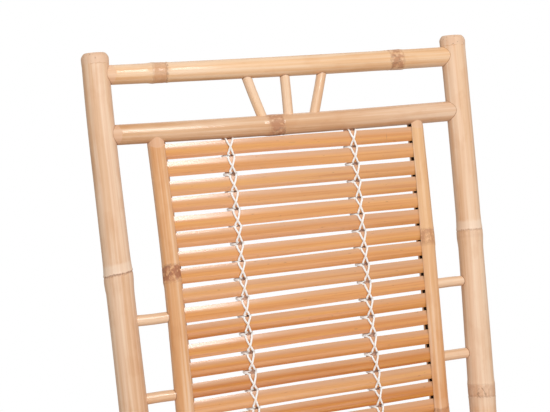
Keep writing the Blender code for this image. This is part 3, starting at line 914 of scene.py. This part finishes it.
def row_heights(low, high, rings, looks, collars):
    """Heights of a pole's rows of points, close together at its nodes and at its coped ends."""
    heights = set(np.linspace(low, high, max(2, math.ceil((high - low) / PLAIN_ROW) + 1)))
    for ring, look in zip(rings, looks):
        steps = np.arange(-NODE_REACH, NODE_REACH, NODE_ROW)
        beside = steps * look.side
        keep = (beside > -NODE_CORE) & (beside < look.width + NODE_CORE)
        keep |= np.arange(len(steps)) % 3 == 0
        heights = {height for height in heights if abs(height - ring) > NODE_REACH}
        heights |= {ring + step for step in steps[keep] if low < ring + step < high}
    for end, sign in collars:
        heights |= {end + sign * step for step in np.arange(NECK_ROW, NECK_REACH, NECK_ROW)}
    return sorted(heights)


def tube(profile, sides):
    """Closed shape turned about z from a profile that starts and ends on the axis."""
    shape = bmesh.new()
    points = [shape.verts.new((radius, 0.0, height)) for radius, height in profile]
    edges = [shape.edges.new(pair) for pair in zip(points[:-1], points[1:])]
    bmesh.ops.spin(
        shape,
        geom=points + edges,
        cent=(0.0, 0.0, 0.0),
        axis=(0.0, 0.0, 1.0),
        angle=2 * math.pi,
        steps=sides,
        use_merge=True,
    )
    bmesh.ops.remove_doubles(shape, verts=shape.verts, dist=WELD_REACH)
    bmesh.ops.recalc_face_normals(shape, faces=shape.faces)
    return shape


def dome(radius, top, upwards):
    """Profile of a sanded pole end, from the pole's side to its axis."""
    sign = 1 if upwards else -1
    profile = []
    for angle in np.linspace(0.0, math.pi / 2, DOME_STEPS):
        inset = DOME_INSET * (1 - abs(math.cos(angle)) ** DOME_BLUNTNESS)
        fall = DOME_RISE + DOME_FALL * (1 - math.sin(angle) ** DOME_BLUNTNESS)
        profile.append((radius - inset, top - sign * fall))
    for share in DOME_RINGS:
        profile.append((share * (radius - DOME_INSET), top - sign * DOME_RISE * share ** 2))
    return profile


class NodeMarks:
    """The bamboo nodes of a pole as its points see them: the nearest node's place and looks."""

    def __init__(self, places, rings, looks):
        count = len(places)
        self.beside = np.full(count, -FAR_OFF)
        self.looks = np.zeros((count, 6))
        self.bud = np.full(count, BUD_FAR)
        self.lean = np.zeros(count)
        angle = np.arctan2(places[:, 1], places[:, 0])
        nearest = np.full(count, NODE_REACH)
        for ring, look in zip(rings, looks):
            step = places[:, 2] - ring
            near = np.abs(step) < nearest
            nearest[near] = np.abs(step[near])
            self.beside[near] = (step * look.side)[near]
            fade = np.clip(NODE_FULL - NODE_FADE * np.abs(step) / NODE_REACH, 0.0, 1.0)
            strengths = (look.brown, look.pale, look.mottle, look.scar, look.swell)
            self.looks[near, 0] = look.width
            self.looks[near, 1:] = np.outer(fade, strengths)[near]
            ripple = NODE_RIPPLE * np.sin(RIPPLE_WAVES * angle + RIPPLE_PHASE * ring)
            lean = look.tilt[0] * places[:, 0] + look.tilt[1] * places[:, 1] + ripple
            self.lean[near] = (lean * fade)[near]
            if look.bud is not None:
                turn = (angle - look.bud + math.pi) % (2 * math.pi) - math.pi
                radius = np.linalg.norm(places[:, :2], axis=1)
                along = (step * look.side - BUD_PLACE * BUD_LENGTH) / BUD_LENGTH
                reach = np.hypot(turn * radius / BUD_WIDTH * (1.0 + BUD_TAPER * along), along)
                self.bud[near] = np.minimum(reach, BUD_FAR)[near]

    def proud(self):
        """How far the skin stands out at each point."""
        width, brown, _, _, scar, swell = self.looks.T
        rise = swell * np.exp(-((self.beside - width / 2) / NODE_SPREAD) ** 2)
        rise += NODE_RIDGE * brown * np.exp(-((self.beside - width) / RIDGE_SPREAD) ** 2)
        rise += NODE_LEDGE * scar * np.exp(-((self.beside + LEDGE_PLACE) / LEDGE_SPREAD) ** 2)
        rise -= NODE_GROOVE * scar * np.exp(-(self.beside / NODE_GROOVE_SPREAD) ** 2)
        return rise + BUD_RISE * np.exp(-BUD_STEEPNESS * self.bud ** 2)

    def store(self, mesh):
        width, brown, pale, mottle, scar, _ = self.looks.T
        set_attribute(mesh, "marks", np.c_[self.beside, width, self.bud])
        set_attribute(mesh, "ring", np.c_[brown, pale, mottle])
        set_attribute(mesh, "scar", scar)


def store_skin(mesh, places, colours, share, ends):
    """Grain, colour from end to end, the marks of the ends and the painted shade in a groove, for a pole's
    finish.
    """
    layer = mesh.attributes.new("skin", "FLOAT_COLOR", "POINT")
    first, last = np.array(colours)
    rows = np.c_[np.outer(1 - share, first) + np.outer(share, last), np.ones(len(places))]
    layer.data.foreach_set("color", rows.astype(np.float32).ravel())
    set_attribute(mesh, "grain", places + random_offset())
    set_attribute(mesh, "ends", ends)


def grown(places, radius, proud):
    """Points of a pole made slightly oval and uneven, with its nodes standing proud."""
    radial = np.linalg.norm(places[:, :2], axis=1)
    angle = np.arctan2(places[:, 1], places[:, 0])
    phases = random_phases()
    growth = OVAL_SHARE * np.sin(2 * angle + phases[0] + OVAL_TWIST * places[:, 2])
    growth += WAVE_SHARE * np.sin(places[:, 2] * WAVE_RATE + phases[1])
    growth += LOBE_SHARE * np.sin(3 * angle + places[:, 2] * LOBE_TWIST + phases[2])
    swelling = np.where(radial > radius * SKIN_SHARE, proud / np.maximum(radial, SAME_PLACE), 0.0)
    local = places.copy()
    local[:, :2] *= (1 + growth + swelling)[:, None]
    return local


def slide_to(points, direction, carrier):
    """Distances along a direction at which points meet the skin of the pole that carries them."""
    gap = points - np.array(carrier.point)
    axis = np.array(carrier.along)
    gap = gap - np.outer(gap @ axis, axis)
    way = direction - (direction @ axis) * axis
    reach = carrier.radius - JOINT_SINK
    closing = gap @ way
    speed = way @ way
    root = closing ** 2 - speed * ((gap ** 2).sum(axis=1) - reach ** 2)
    return (-closing - np.sqrt(np.maximum(root, 0.0))) / speed


def end_margin(pole, carrier):
    """Length to leave plain at an end, so that the whole fish mouth lies beyond it."""
    slope = abs(pole.along.dot(carrier.along))
    sine = math.sqrt(1 - slope ** 2)
    return (carrier.radius + slope * pole.radius * max(pole.girths)) / sine + MOUTH_SPARE


def meeting(pole, carrier):
    """Distance along the pole at which its axis passes the carrier's axis."""
    across = carrier.along.cross(pole.along.cross(carrier.along))
    return (carrier.point - pole.point).dot(across) / pole.along.dot(across)


def cut_groove(shape, radius, low, high, depth):
    """Slot along a pole's +x side between two heights of y, cut to a depth below the skin."""
    for height in (low, high):
        everything = shape.verts[:] + shape.edges[:] + shape.faces[:]
        bmesh.ops.bisect_plane(
            shape, geom=everything, plane_co=(0, height, 0), plane_no=(0, 1, 0), dist=CUT_REACH
        )
    inside = []
    for face in shape.faces:
        middle = face.calc_center_median()
        if low < middle.y < high and middle.x > GROOVE_SIDE * radius and abs(face.normal.z) < 0.5:
            inside.append(face)
    moved = bmesh.ops.extrude_face_region(shape, geom=inside)
    for item in moved["geom"]:
        if isinstance(item, bmesh.types.BMVert):
            item.co.x = radius - depth
    bmesh.ops.delete(shape, geom=inside, context="FACES")
    bmesh.ops.recalc_face_normals(shape, faces=shape.faces)


def build_pole(node, material, slot, colours, facing=POLE_FRONT, groove=None):
    """Pole in its place, with its domes, fish mouths, nodes and marks.

    Its skin goes from one colour to another. A groove is given by its sides, its depth and the strength of
    the painted shade on its floor.
    """
    pole = POLES[node]
    rings, looks = node_looks(node, pole.rings)
    carriers = []
    ends = []
    collars = []
    for name, end, sign in zip(JOINTS[node], (0.0, pole.length), (1, -1)):
        carrier = CARRIERS[name].near(pole.at(end)) if name else None
        if carrier:
            end = meeting(pole, carrier) + sign * end_margin(pole, carrier)
            if not node.startswith(UNSANDED) and (sign > 0 or node not in HALF_SANDED):
                collars.append((end, sign))
        carriers.append(carrier)
        ends.append(end)
    cap = DOME_FALL + DOME_RISE
    low = ends[0] if carriers[0] else ends[0] + cap
    high = ends[1] if carriers[1] else ends[1] - cap
    rows = []
    for height in row_heights(low, high, rings, looks, collars):
        rows.append((pole.radius * float(pole.girth(height / pole.length)), height))
    first = [(0.0, low)] if carriers[0] else dome(rows[0][0], 0.0, False)[:0:-1]
    last = [(0.0, high)] if carriers[1] else dome(rows[-1][0], pole.length, True)[1:]
    shape = tube(first + rows + last, STICK_SIDES if pole.radius < STICK_RADIUS else POLE_SIDES)
    if groove:
        cut_groove(shape, pole.radius, *groove[:3])
    mesh = mesh_of(shape, node + "_culm")

    places = read_field(mesh.vertices, "co")
    marks = NodeMarks(places, rings, looks)
    proud = marks.proud()
    x_axis = (facing - facing.dot(pole.along) * pole.along).normalized()
    turn = np.array((x_axis, pole.along.cross(x_axis), pole.along))
    collar = np.full(len(places), FAR_OFF)
    for end, sign in collars:
        carrier = carriers[0] if sign > 0 else carriers[1]
        deep = turn @ np.array(pole.along.cross(carrier.along).normalized())
        tongue = NECK_TONGUE * ((places @ deep) / pole.radius) ** 2 - NECK_LENGTH
        collar = np.minimum(collar, np.abs(places[:, 2] - end) - np.minimum(tongue, NECK_LENGTH))
    proud -= NECK_STEP * np.clip((NECK_EDGE - collar / NECK_LENGTH) / NECK_SOFTNESS, 0.0, 1.0)
    domed = np.zeros(len(places))
    for carrier, edge, sign in zip(carriers, (low, high), (-1, 1)):
        if not carrier:
            beyond = (places[:, 2] - edge) * sign
            domed = np.maximum(domed, np.clip(beyond / CAP_LENGTH + 1.0, 0.0, 1.0))
    proud += CAP_SWELL * domed ** 2 * (3 - 2 * domed)
    local = grown(places, pole.radius, proud)
    local[:, 2] += marks.lean
    if not carriers[1]:
        local[:, 2] -= CAP_SLANT * local[:, 0] * domed
    share = np.clip(places[:, 2] / pole.length, 0.0, 1.0)
    world = local @ turn + np.array(pole.point) + pole.bow(share)
    # Distance to the carrier's skin near a coped end, for the dark joint line and painted contact shadow
    seam = np.full(len(places), FAR_OFF)
    for carrier, end, sign in zip(carriers, ends, (-1, 1)):
        if carrier:
            rim = np.abs(places[:, 2] - end) < SAME_PLACE
            way = sign * np.array(pole.along)
            world[rim] += np.outer(slide_to(world[rim], way, carrier), way)
            close = np.abs(places[:, 2] - end) < FAR_OFF
            seam[close] = np.maximum(slide_to(world[close], way, carrier), 0.0)
    move_points(mesh, world)

    # Painted shade on the groove's floor, at its strength for this stile
    painted_slot_shade = np.zeros(len(places))
    if groove:
        near_side, far_side, depth, slot_shade_strength = groove
        floor = np.abs(places[:, 0] - (pole.radius - depth)) < SAME_PLACE
        inner = (places[:, 1] > near_side - SAME_PLACE) & (places[:, 1] < far_side + SAME_PLACE)
        painted_slot_shade[floor & inner] = slot_shade_strength
    marks.store(mesh)
    set_attribute(mesh, "seam", seam)
    store_skin(mesh, places, colours, share, np.c_[collar, domed, painted_slot_shade])
    finished_piece(node + "_culm", mesh, material, slot, node)


def build_rocker(hand):
    """Bent pole swept along the rocker's arc, worn flat where it stands."""
    node = "rocker_" + hand
    rocker = ROCKERS[node]
    length = (rocker.last - rocker.first) * rocker.axis_radius
    rings, looks = node_looks(node, [length * share for share in ROCKER_NODES])
    cap = DOME_FALL + DOME_RISE
    heights = row_heights(cap, length - cap, rings, looks, [])
    apothem = rocker.radius * math.cos(math.pi / SOLID_FACETS)
    profile = dome(apothem, 0.0, False)[:0:-1] + [(apothem, height) for height in heights]
    mesh = mesh_of(tube(profile + dome(apothem, length, True)[1:], POLE_SIDES), node + "_culm")
    places = read_field(mesh.vertices, "co")
    marks = NodeMarks(places, rings, looks)
    local = grown(places, apothem, marks.proud())
    local[:, 2] += marks.lean
    swing = rocker.first + local[:, 2] / rocker.axis_radius
    arm = rocker.axis_radius + local[:, 1]
    heights = np.maximum(rocker.centre.z - arm * np.cos(swing), 0.0)
    move_points(mesh, np.c_[rocker.x + local[:, 0], rocker.centre.y + arm * np.sin(swing), heights])
    tips = np.minimum(places[:, 2], length - places[:, 2])
    domed = np.clip((cap - tips) / CAP_LENGTH + 1.0, 0.0, 1.0)
    marks.store(mesh)
    far = np.full(len(places), FAR_OFF)
    set_attribute(mesh, "seam", far)
    store_skin(mesh, places, (BEIGE, BEIGE), tips / length, np.c_[far, domed, np.zeros(len(places))])
    finished_piece(node + "_culm", mesh, POST_SKIN, "pole", node)


# Slats and battens


def strip_mesh(name, length, width, thickness, crown, wander):
    """Split-bamboo strip along x, with rounded edges and a crowned face, about its own middle."""
    shape = bmesh.new()
    section = bmesh.ops.create_circle(shape, cap_ends=True, segments=STRIP_SIDES, radius=1.0)["verts"]
    for vertex in section:
        cosine, sine = vertex.co.x, vertex.co.y
        blunt = max(abs(cosine), abs(sine)) ** STRIP_ROUNDING
        share = cosine / blunt
        height = sine / blunt
        drop = crown * share ** 2 * max(height, 0.0)
        share *= (1 - STRIP_UNDERCUT * (1 - height) / 2) / STRIP_WIDEST
        vertex.co = (-length / 2, share * width / 2, height * thickness / 2 - drop)
    swept = bmesh.ops.extrude_face_region(shape, geom=shape.faces[:])
    far = [item for item in swept["geom"] if isinstance(item, bmesh.types.BMVert)]
    bmesh.ops.translate(shape, verts=far, vec=(length, 0.0, 0.0))
    long_edges = []
    for edge in shape.edges:
        if abs(edge.verts[0].co.x - edge.verts[1].co.x) > length / 2:
            long_edges.append(edge)
    bmesh.ops.subdivide_edges(shape, edges=long_edges, cuts=STRIP_CUTS, use_grid_fill=True)
    bmesh.ops.recalc_face_normals(shape, faces=shape.faces)
    mesh = mesh_of(shape, name)
    places = read_field(mesh.vertices, "co")
    turns = places[:, 0] / length * 2 * math.pi
    phases = random_phases()
    shaped = places.copy()
    shaped[:, 1] += wander * (np.sin(turns + phases[0]) - math.sin(phases[0]))
    shaped[:, 1] *= 1 + STRIP_UNEVEN * np.sin(EDGE_WAVES * turns + phases[1])
    shaped[:, 2] += FACE_WANDER * wander * np.sin(FACE_WAVES * turns + phases[2])
    return mesh, places, shaped


def set_in_place(mesh, shaped, matrix):
    turn = np.array(matrix.to_3x3())
    move_points(mesh, shaped @ turn.T + np.array(matrix.translation))


def hand_spacing(index):
    """Setting of a back slat, which evens out below the seen ones.

    It gives how far the slat stands below its even place, the angles by which its right end is turned
    up and its upper edge is tipped back, and how pale it is if that was seen.
    """
    seen = min(index, len(SLAT_DRIFTS) - 1)
    share = 1 / (1 + index - seen)
    drift = SLAT_DRIFTS[seen] / 1000
    fan = SLAT_FANS[seen] / 1000
    tone = SLAT_TONES[seen] if index == seen else None
    return share * drift, share * fan, share * math.radians(SLAT_TIPS[seen]), tone


def build_slat(name, panel, low, high, setting, *nodes):
    """Slat between two corners in its panel's u, v and w. Gives back its first and last v and its roll."""
    drift, fan, tip, tone = setting
    length, width, thickness = (float(part) for part in high - low)
    width += SLAT_GROWTH + uneven(SLAT_UNEVEN)
    middle = (low + high) / 2
    middle[1] += drift + uneven(SLAT_UNEVEN)
    crown = SLAT_CROWN * (1.0 + uneven(CROWN_UNEVEN))
    mesh, places, shaped = strip_mesh(name, length, width, thickness, crown, SLAT_WANDER)
    knot = np.full(len(places), FAR_OFF)
    for _ in range(random_draw.choice(KNOT_COUNTS)):
        slanted = places[:, 0] - uneven(0.5) * length - uneven(KNOT_SLANT) * places[:, 1]
        knot = np.minimum(knot, np.abs(slanted))
    roll = uneven(SLAT_ROLL) - tip
    turn = Matrix.Rotation(fan, 4, "Z") @ Matrix.Rotation(roll, 4, "X")
    set_in_place(mesh, shaped, panel.place(*middle, lengthwise=False) @ turn)
    rose = np.full(len(places), random_draw.random() ** ROSE_BIAS)
    # Share across the slat, +1 at its lower edge, placing the painted shade of the upper half and lower
    # edge
    edge = -places[:, 1] / (width / 2)
    set_attribute(mesh, "grain", places + random_offset())
    set_attribute(mesh, "marks", np.c_[rose, knot, edge])
    chance = random_draw.random()
    pale = chance if tone is None else tone
    set_attribute(mesh, "tone", pale + SLAT_FADE * places[:, 0])
    finished_piece(name, mesh, SLAT_SKIN, "slat", *nodes)
    return middle[1] - width / 2, middle[1] + width / 2, roll


def planed(low, high, hand):
    """Corners of a batten as it is laced: set to the left, with its left edge planed off."""
    low, high = low.copy(), high.copy()
    low[0] += BATTEN_SHIFT + BATTEN_TRIMS[hand]
    high[0] += BATTEN_SHIFT
    return low, high


def build_batten(name, panel, low, high, *nodes):
    """Batten between two corners in its panel's u, v and w."""
    width, length, thickness = (float(part) for part in high - low)
    mesh, places, shaped = strip_mesh(name, length, width, thickness, BATTEN_CROWN, BATTEN_WANDER)
    middle = (low + high) / 2
    set_in_place(mesh, shaped, panel.place(*middle, lengthwise=True))
    set_attribute(mesh, "grain", places + random_offset())
    finished_piece(name, mesh, BATTEN_SKIN, "batten", *nodes)


# Lacing


def smooth_route(points, spacing):
    """Points at an even spacing on a smooth curve through a route's points."""
    points = np.array(points)
    padded = np.vstack((2 * points[0] - points[1], points, 2 * points[-1] - points[-2]))
    samples = []
    for first, second, third, fourth in zip(padded, padded[1:], padded[2:], padded[3:]):
        count = max(2, math.ceil(np.linalg.norm(third - second) / spacing))
        share = np.linspace(0, 1, count, endpoint=False)[:, None]
        curve = 2 * second + (third - first) * share
        curve = curve + (2 * first - 5 * second + 4 * third - fourth) * share ** 2
        curve = curve + (3 * second - first - 3 * third + fourth) * share ** 3
        samples.append(0.5 * curve)
    return np.vstack(samples + [points[-1:]])


def slat_crossing(edges, gaps, face, batten, slip, falling):
    """Points of the cord over one slat, in u, v and w, from the gap above it to the gap below it.

    The batten is given by its left, upper and back corner and the opposite one. A falling cord crosses
    from the upper left to the lower right. The other one lies on top of it and behind it. The slip
    moves the place where they cross. Above the first slat a falling cord comes over the batten's end.
    """
    above, below, roll = edges
    (left, top, back), (right, _, front) = batten
    upper = face + roll * (below - above) / 2
    lower = face - roll * (below - above) / 2
    middle = (front + back) / 2
    layer = 0.0 if falling else 2 * CORD_RADIUS
    hidden = [((left + right) / 2, gaps[0], back - CORD_RADIUS - layer)]
    if falling and gaps[0] < top + FIRST_GAP:
        hidden = []
        start = [
            (FIRST_TURN, top + FIRST_DIP, back - CORD_RADIUS),
            (FIRST_TURN, top - CORD_RADIUS, middle),
            (FIRST_TURN, (top + above) / 2, front + CORD_RADIUS),
        ]
    elif falling:
        start = [(left - CORD_RADIUS, gaps[0] + GAP_SHIFT, middle)]
        start += [(left + u, above + v, upper + w) for u, v, w in FALL_IN]
    if falling:
        end = [
            (right + FALL_OUT[0], below + FALL_OUT[1], lower + FALL_OUT[2]),
            (right + CORD_RADIUS, gaps[1] - GAP_SHIFT, middle),
        ]
    else:
        start = [
            (right + CORD_RADIUS, gaps[0] + GAP_SHIFT, middle),
            (right + RISE_IN[0], above + RISE_IN[1], upper + RISE_IN[2]),
        ]
        end = [
            (left + RISE_OUT[0], below + RISE_OUT[1], lower + RISE_OUT[2]),
            (left + RISE_TURN, gaps[1], front + CORD_RADIUS),
            (left - CORD_RADIUS, gaps[1] - GAP_SHIFT, middle),
        ]
    over = []
    sign = 1 if falling else -1
    for u, share, lift in CROSSING:
        share += slip * (1 - abs(2 * share - 1))
        skin = upper + share * (lower - upper) - SLAT_CROWN * (2 * share - 1) ** 2
        height = skin + CORD_RADIUS + lift * layer
        over.append((sign * u, above + share * (below - above), height))
    return hidden + start + over + end


def lacing_route(edges, face, batten):
    """Points of one cord in u, v and w: down over every slat, and back up across itself."""
    spare = edges[1][0] - edges[0][1]
    gaps = [edges[0][0] - spare / 2]
    gaps += [(upper[1] + lower[0]) / 2 for upper, lower in zip(edges, edges[1:])]
    gaps.append(edges[-1][1] + spare / 2)
    down = []
    up = []
    for number, pair in enumerate(edges):
        beyond = gaps[number:number + 2]
        slip = uneven(CROSSING_SLIP)
        down += slat_crossing(pair, beyond, face, batten, slip, True)
        up += slat_crossing(pair, beyond, face, batten, slip, False)
    return down + up[::-1]


def build_lacing(name, panel, line, edges, face, batten, *nodes):
    """Cord swept along its route about a line of u, with the lay of its strands for its finish."""
    batten = [(u - line, v, w) for u, v, w in batten]
    route = lacing_route(edges, face, batten)
    centre_line = smooth_route([panel.at(line + u, v, w) for u, v, w in route], CORD_STEP)
    cord = bpy.data.curves.new(name, "CURVE")
    cord.dimensions = "3D"
    cord.bevel_depth = CORD_RADIUS
    cord.bevel_resolution = CORD_SIDES // 2 - 2
    cord.use_fill_caps = True
    spline = cord.splines.new("POLY")
    spline.points.add(len(centre_line) - 1)
    spline.points.foreach_set("co", np.c_[centre_line, np.ones(len(centre_line))].ravel())
    holder = add_object(name + "_path", cord)
    bpy.context.view_layer.update()
    graph = bpy.context.evaluated_depsgraph_get()
    mesh = bpy.data.meshes.new_from_object(holder.evaluated_get(graph))
    bpy.data.objects.remove(holder)
    mesh.name = name
    count = len(mesh.vertices)
    lengths = np.r_[0.0, np.cumsum(np.linalg.norm(np.diff(centre_line, axis=0), axis=1))]
    rows = np.minimum(np.arange(count) // CORD_SIDES, len(centre_line) - 1)
    turn = 4 * math.pi * (np.arange(count) % CORD_SIDES) / CORD_SIDES
    set_attribute(mesh, "lay", np.c_[np.cos(turn), np.sin(turn), lengths[rows]])
    finished_piece(name, mesh, CORD_SKIN, "cord", *nodes)
    print("%s: %.3f m, %d points" % (name, lengths[-1], count))


# The chair


def build_frame():
    build_pole("back_post_left", POST_SKIN, "pole", (BLUSH, SAND))
    build_pole("back_post_right", POST_SKIN, "pole", (BEIGE, BEIGE))
    build_pole("crest_rail", RAIL_SKIN, "pole", (TAN, TAN))
    build_pole("head_rail", RAIL_SKIN, "pole", (ROSY, BLUSH))
    for node in ("seat_rear_rail", "seat_front_rail", "front_stretcher", "rear_stretcher"):
        build_pole(node, RAIL_SKIN, "pole", random_draw.sample((TAN, HONEY, STRAW), 2))
    for hand in HANDS:
        build_pole("arm_" + hand, POST_SKIN, "pole", (BLUSH, STRAW))
        build_pole("front_leg_" + hand, POST_SKIN, "pole", random_draw.sample((BEIGE, STRAW), 2))
        build_pole("seat_side_rail_" + hand, RAIL_SKIN, "pole", random_draw.sample((TAN, HONEY), 2))
        for level in ("upper", "lower"):
            build_pole("back_rung_%s_%s" % (level, hand), RAIL_SKIN, "stick", (STRAW, STRAW))
        build_rocker(hand)
    for word, colour in (("left", TAN), ("middle", STRAW), ("right", STRAW)):
        build_pole("ray_" + word, RAIL_SKIN, "stick", (colour, STRAW))


def build_stiles(panel, word, slat_low, slat_high, colours):
    """Grooved stiles, whose slots run a little wider than the slats between two heights of w."""
    low = slat_low - GROOVE_SLACK
    high = slat_high + GROOVE_LIP
    for hand, colour in zip(HANDS, colours):
        node = "%s_stile_%s" % (word, hand)
        inward = Vector((1.0 if hand == "left" else -1.0, 0.0, 0.0))
        flip = POLES[node].along.cross(inward).dot(panel.out) < 0
        sides = (-high, -low) if flip else (low, high)
        groove = (*sides, GROOVE_DEPTH, GROOVE_PAINTED_SHADE[hand])
        build_pole(node, POST_SKIN, "pole", colour, inward, groove)


def build_back():
    slats = sorted(node for node in NODES if node.startswith("back_slat_"))
    corners = [BACK.extent(node) for node in slats]
    face = corners[0][1][2]
    build_stiles(BACK, "back", corners[0][0][2], face, ((AMBER, AMBER), (SPICE, HONEY)))
    edges = []
    fans = []
    for index, (node, (low, high)) in enumerate(zip(slats, corners)):
        setting = hand_spacing(index)
        edges.append(build_slat(node + "_split", BACK, low, high, setting, node))
        fans.append(setting[1])
    for hand in HANDS:
        low, high = BACK.extent("back_batten_" + hand)
        line = (low[0] + high[0]) / 2
        corners = planed(low, high, hand)
        build_batten("back_batten_%s_strip" % hand, BACK, *corners, "back_batten_" + hand)
        turned = []
        for (first, last, roll), fan in zip(edges, fans):
            turned.append((first - fan * line, last - fan * line, roll))
        node = "back_lacing_" + hand
        build_lacing(node + "_cord", BACK, line, turned, face, corners, node)


def build_seat():
    """Seat slats and battens, which the frame holds as one solid, at the pitch of the back's slats."""
    first_low, first_high = BACK.extent("back_slat_01")
    pitch = BACK.extent("back_slat_02")[0][1] - first_low[1]
    width = first_high[1] - first_low[1]
    points = SEAT.local("seat_mat")
    low, high = points.min(axis=0), points.max(axis=0)
    tips = points[np.abs(points[:, 0]) > high[0] - SLAT_TIP]
    first, last = tips[:, 1].min(), tips[:, 1].max()
    slat_back = tips[:, 2].min()
    build_stiles(SEAT, "seat", slat_back, high[2], ((HONEY, AMBER), (AMBER, HONEY)))
    edges = []
    for number in range(round((last - first + pitch - width) / pitch)):
        edge = first + number * pitch
        corner = np.array((low[0], edge, slat_back))
        far_corner = np.array((high[0], edge + width, high[2]))
        name = "seat_slat_%02d" % (number + 1)
        edges.append(build_slat(name, SEAT, corner, far_corner, EVEN_SETTING, "seat_mat"))
    for hand in HANDS:
        back_low, back_high = BACK.extent("back_batten_" + hand)
        batten_low = np.array((back_low[0], low[1], low[2]))
        batten_high = np.array((back_high[0], high[1], slat_back))
        corners = planed(batten_low, batten_high, hand)
        build_batten("seat_batten_" + hand, SEAT, *corners, "seat_mat")
        line = (back_low[0] + back_high[0]) / 2
        node = "seat_lacing_" + hand
        build_lacing(node + "_cord", SEAT, line, edges, high[2], corners, node)


# Stage, light and camera


def build_stage():
    """Pale floor that keeps the chair's shadow, and is plain white to the camera further out."""
    shape = bmesh.new()
    bmesh.ops.create_circle(shape, cap_ends=True, segments=FLOOR_SIDES, radius=FLOOR_RADIUS)
    bmesh.ops.translate(shape, verts=shape.verts, vec=(0.0, 0.0, -FLOOR_DROP))
    mesh = mesh_of(shape, "studio_floor")
    floor = add_object("studio_floor", mesh)
    material, paint, start = new_finish(
        "studio_floor_paint", Base_Color=FLOOR_PAINT, Roughness=0.9, Specular_IOR_Level=0.0
    )
    distance = start.node("ShaderNodeVectorMath", {"operation": "LENGTH"}, {0: start}, "Value")
    seen = start.node("ShaderNodeLightPath", output="Is Camera Ray")
    white = start.node("ShaderNodeEmission", None, {"Strength": 1.0})
    shade = seen * distance.step(*SHADOW_EDGE)
    painted = Channel(start.tree, paint.outputs[0])
    mix = start.node("ShaderNodeMixShader", None, {0: shade, 1: painted, 2: white})
    feed(start.tree.nodes["Material Output"], Surface=mix)
    mesh.materials.append(material)


def build_world():
    """Dim, slightly warm light all round, plain white where it is seen straight or in a reflection."""
    world = bpy.data.worlds.new("studio_air")
    bpy.context.scene.world = world
    world.use_nodes = True
    start = Channel(world.node_tree)
    seen = start.node("ShaderNodeLightPath", output="Is Camera Ray")
    for ray in ("Is Glossy Ray", "Is Transmission Ray"):
        seen = seen.math("MAXIMUM", seen, start.node("ShaderNodeLightPath", output=ray))
    air = start.node("ShaderNodeRGB")
    air.socket.default_value = (*(AIR_LIGHT * part for part in AIR_COLOUR), 1.0)
    feed(world.node_tree.nodes["Background"], Color=air.mixed(WHITE, seen))


def add_softbox(name, place, target, size, power):
    lamp = bpy.data.lights.new(name, "AREA")
    lamp.shape = "RECTANGLE"
    lamp.size, lamp.size_y = size
    lamp.energy = power
    holder = add_object(name, lamp)
    holder.location = place
    way = Vector(target) - Vector(place)
    holder.rotation_euler = way.to_track_quat("-Z", "Y").to_euler()
    holder.visible_camera = False


def build_camera():
    lens = bpy.data.cameras.new("photo_camera")
    lens.sensor_width = SENSOR_WIDTH
    lens.lens = SENSOR_WIDTH * FOCAL_PIXELS / PHOTO_WIDTH
    camera = add_object("photo_camera", lens)
    camera.location = BACK.origin + Vector(CAMERA_FROM_CREST)
    camera.rotation_euler = (math.pi / 2 - CAMERA_DIP, 0.0, -CAMERA_TURN)
    bpy.context.scene.camera = camera


build_frame()
build_back()
build_seat()
build_stage()
build_world()
for name, softbox in SOFTBOXES.items():
    add_softbox(name, *softbox)
build_camera()
bpy.context.scene.view_settings.view_transform = "Standard"
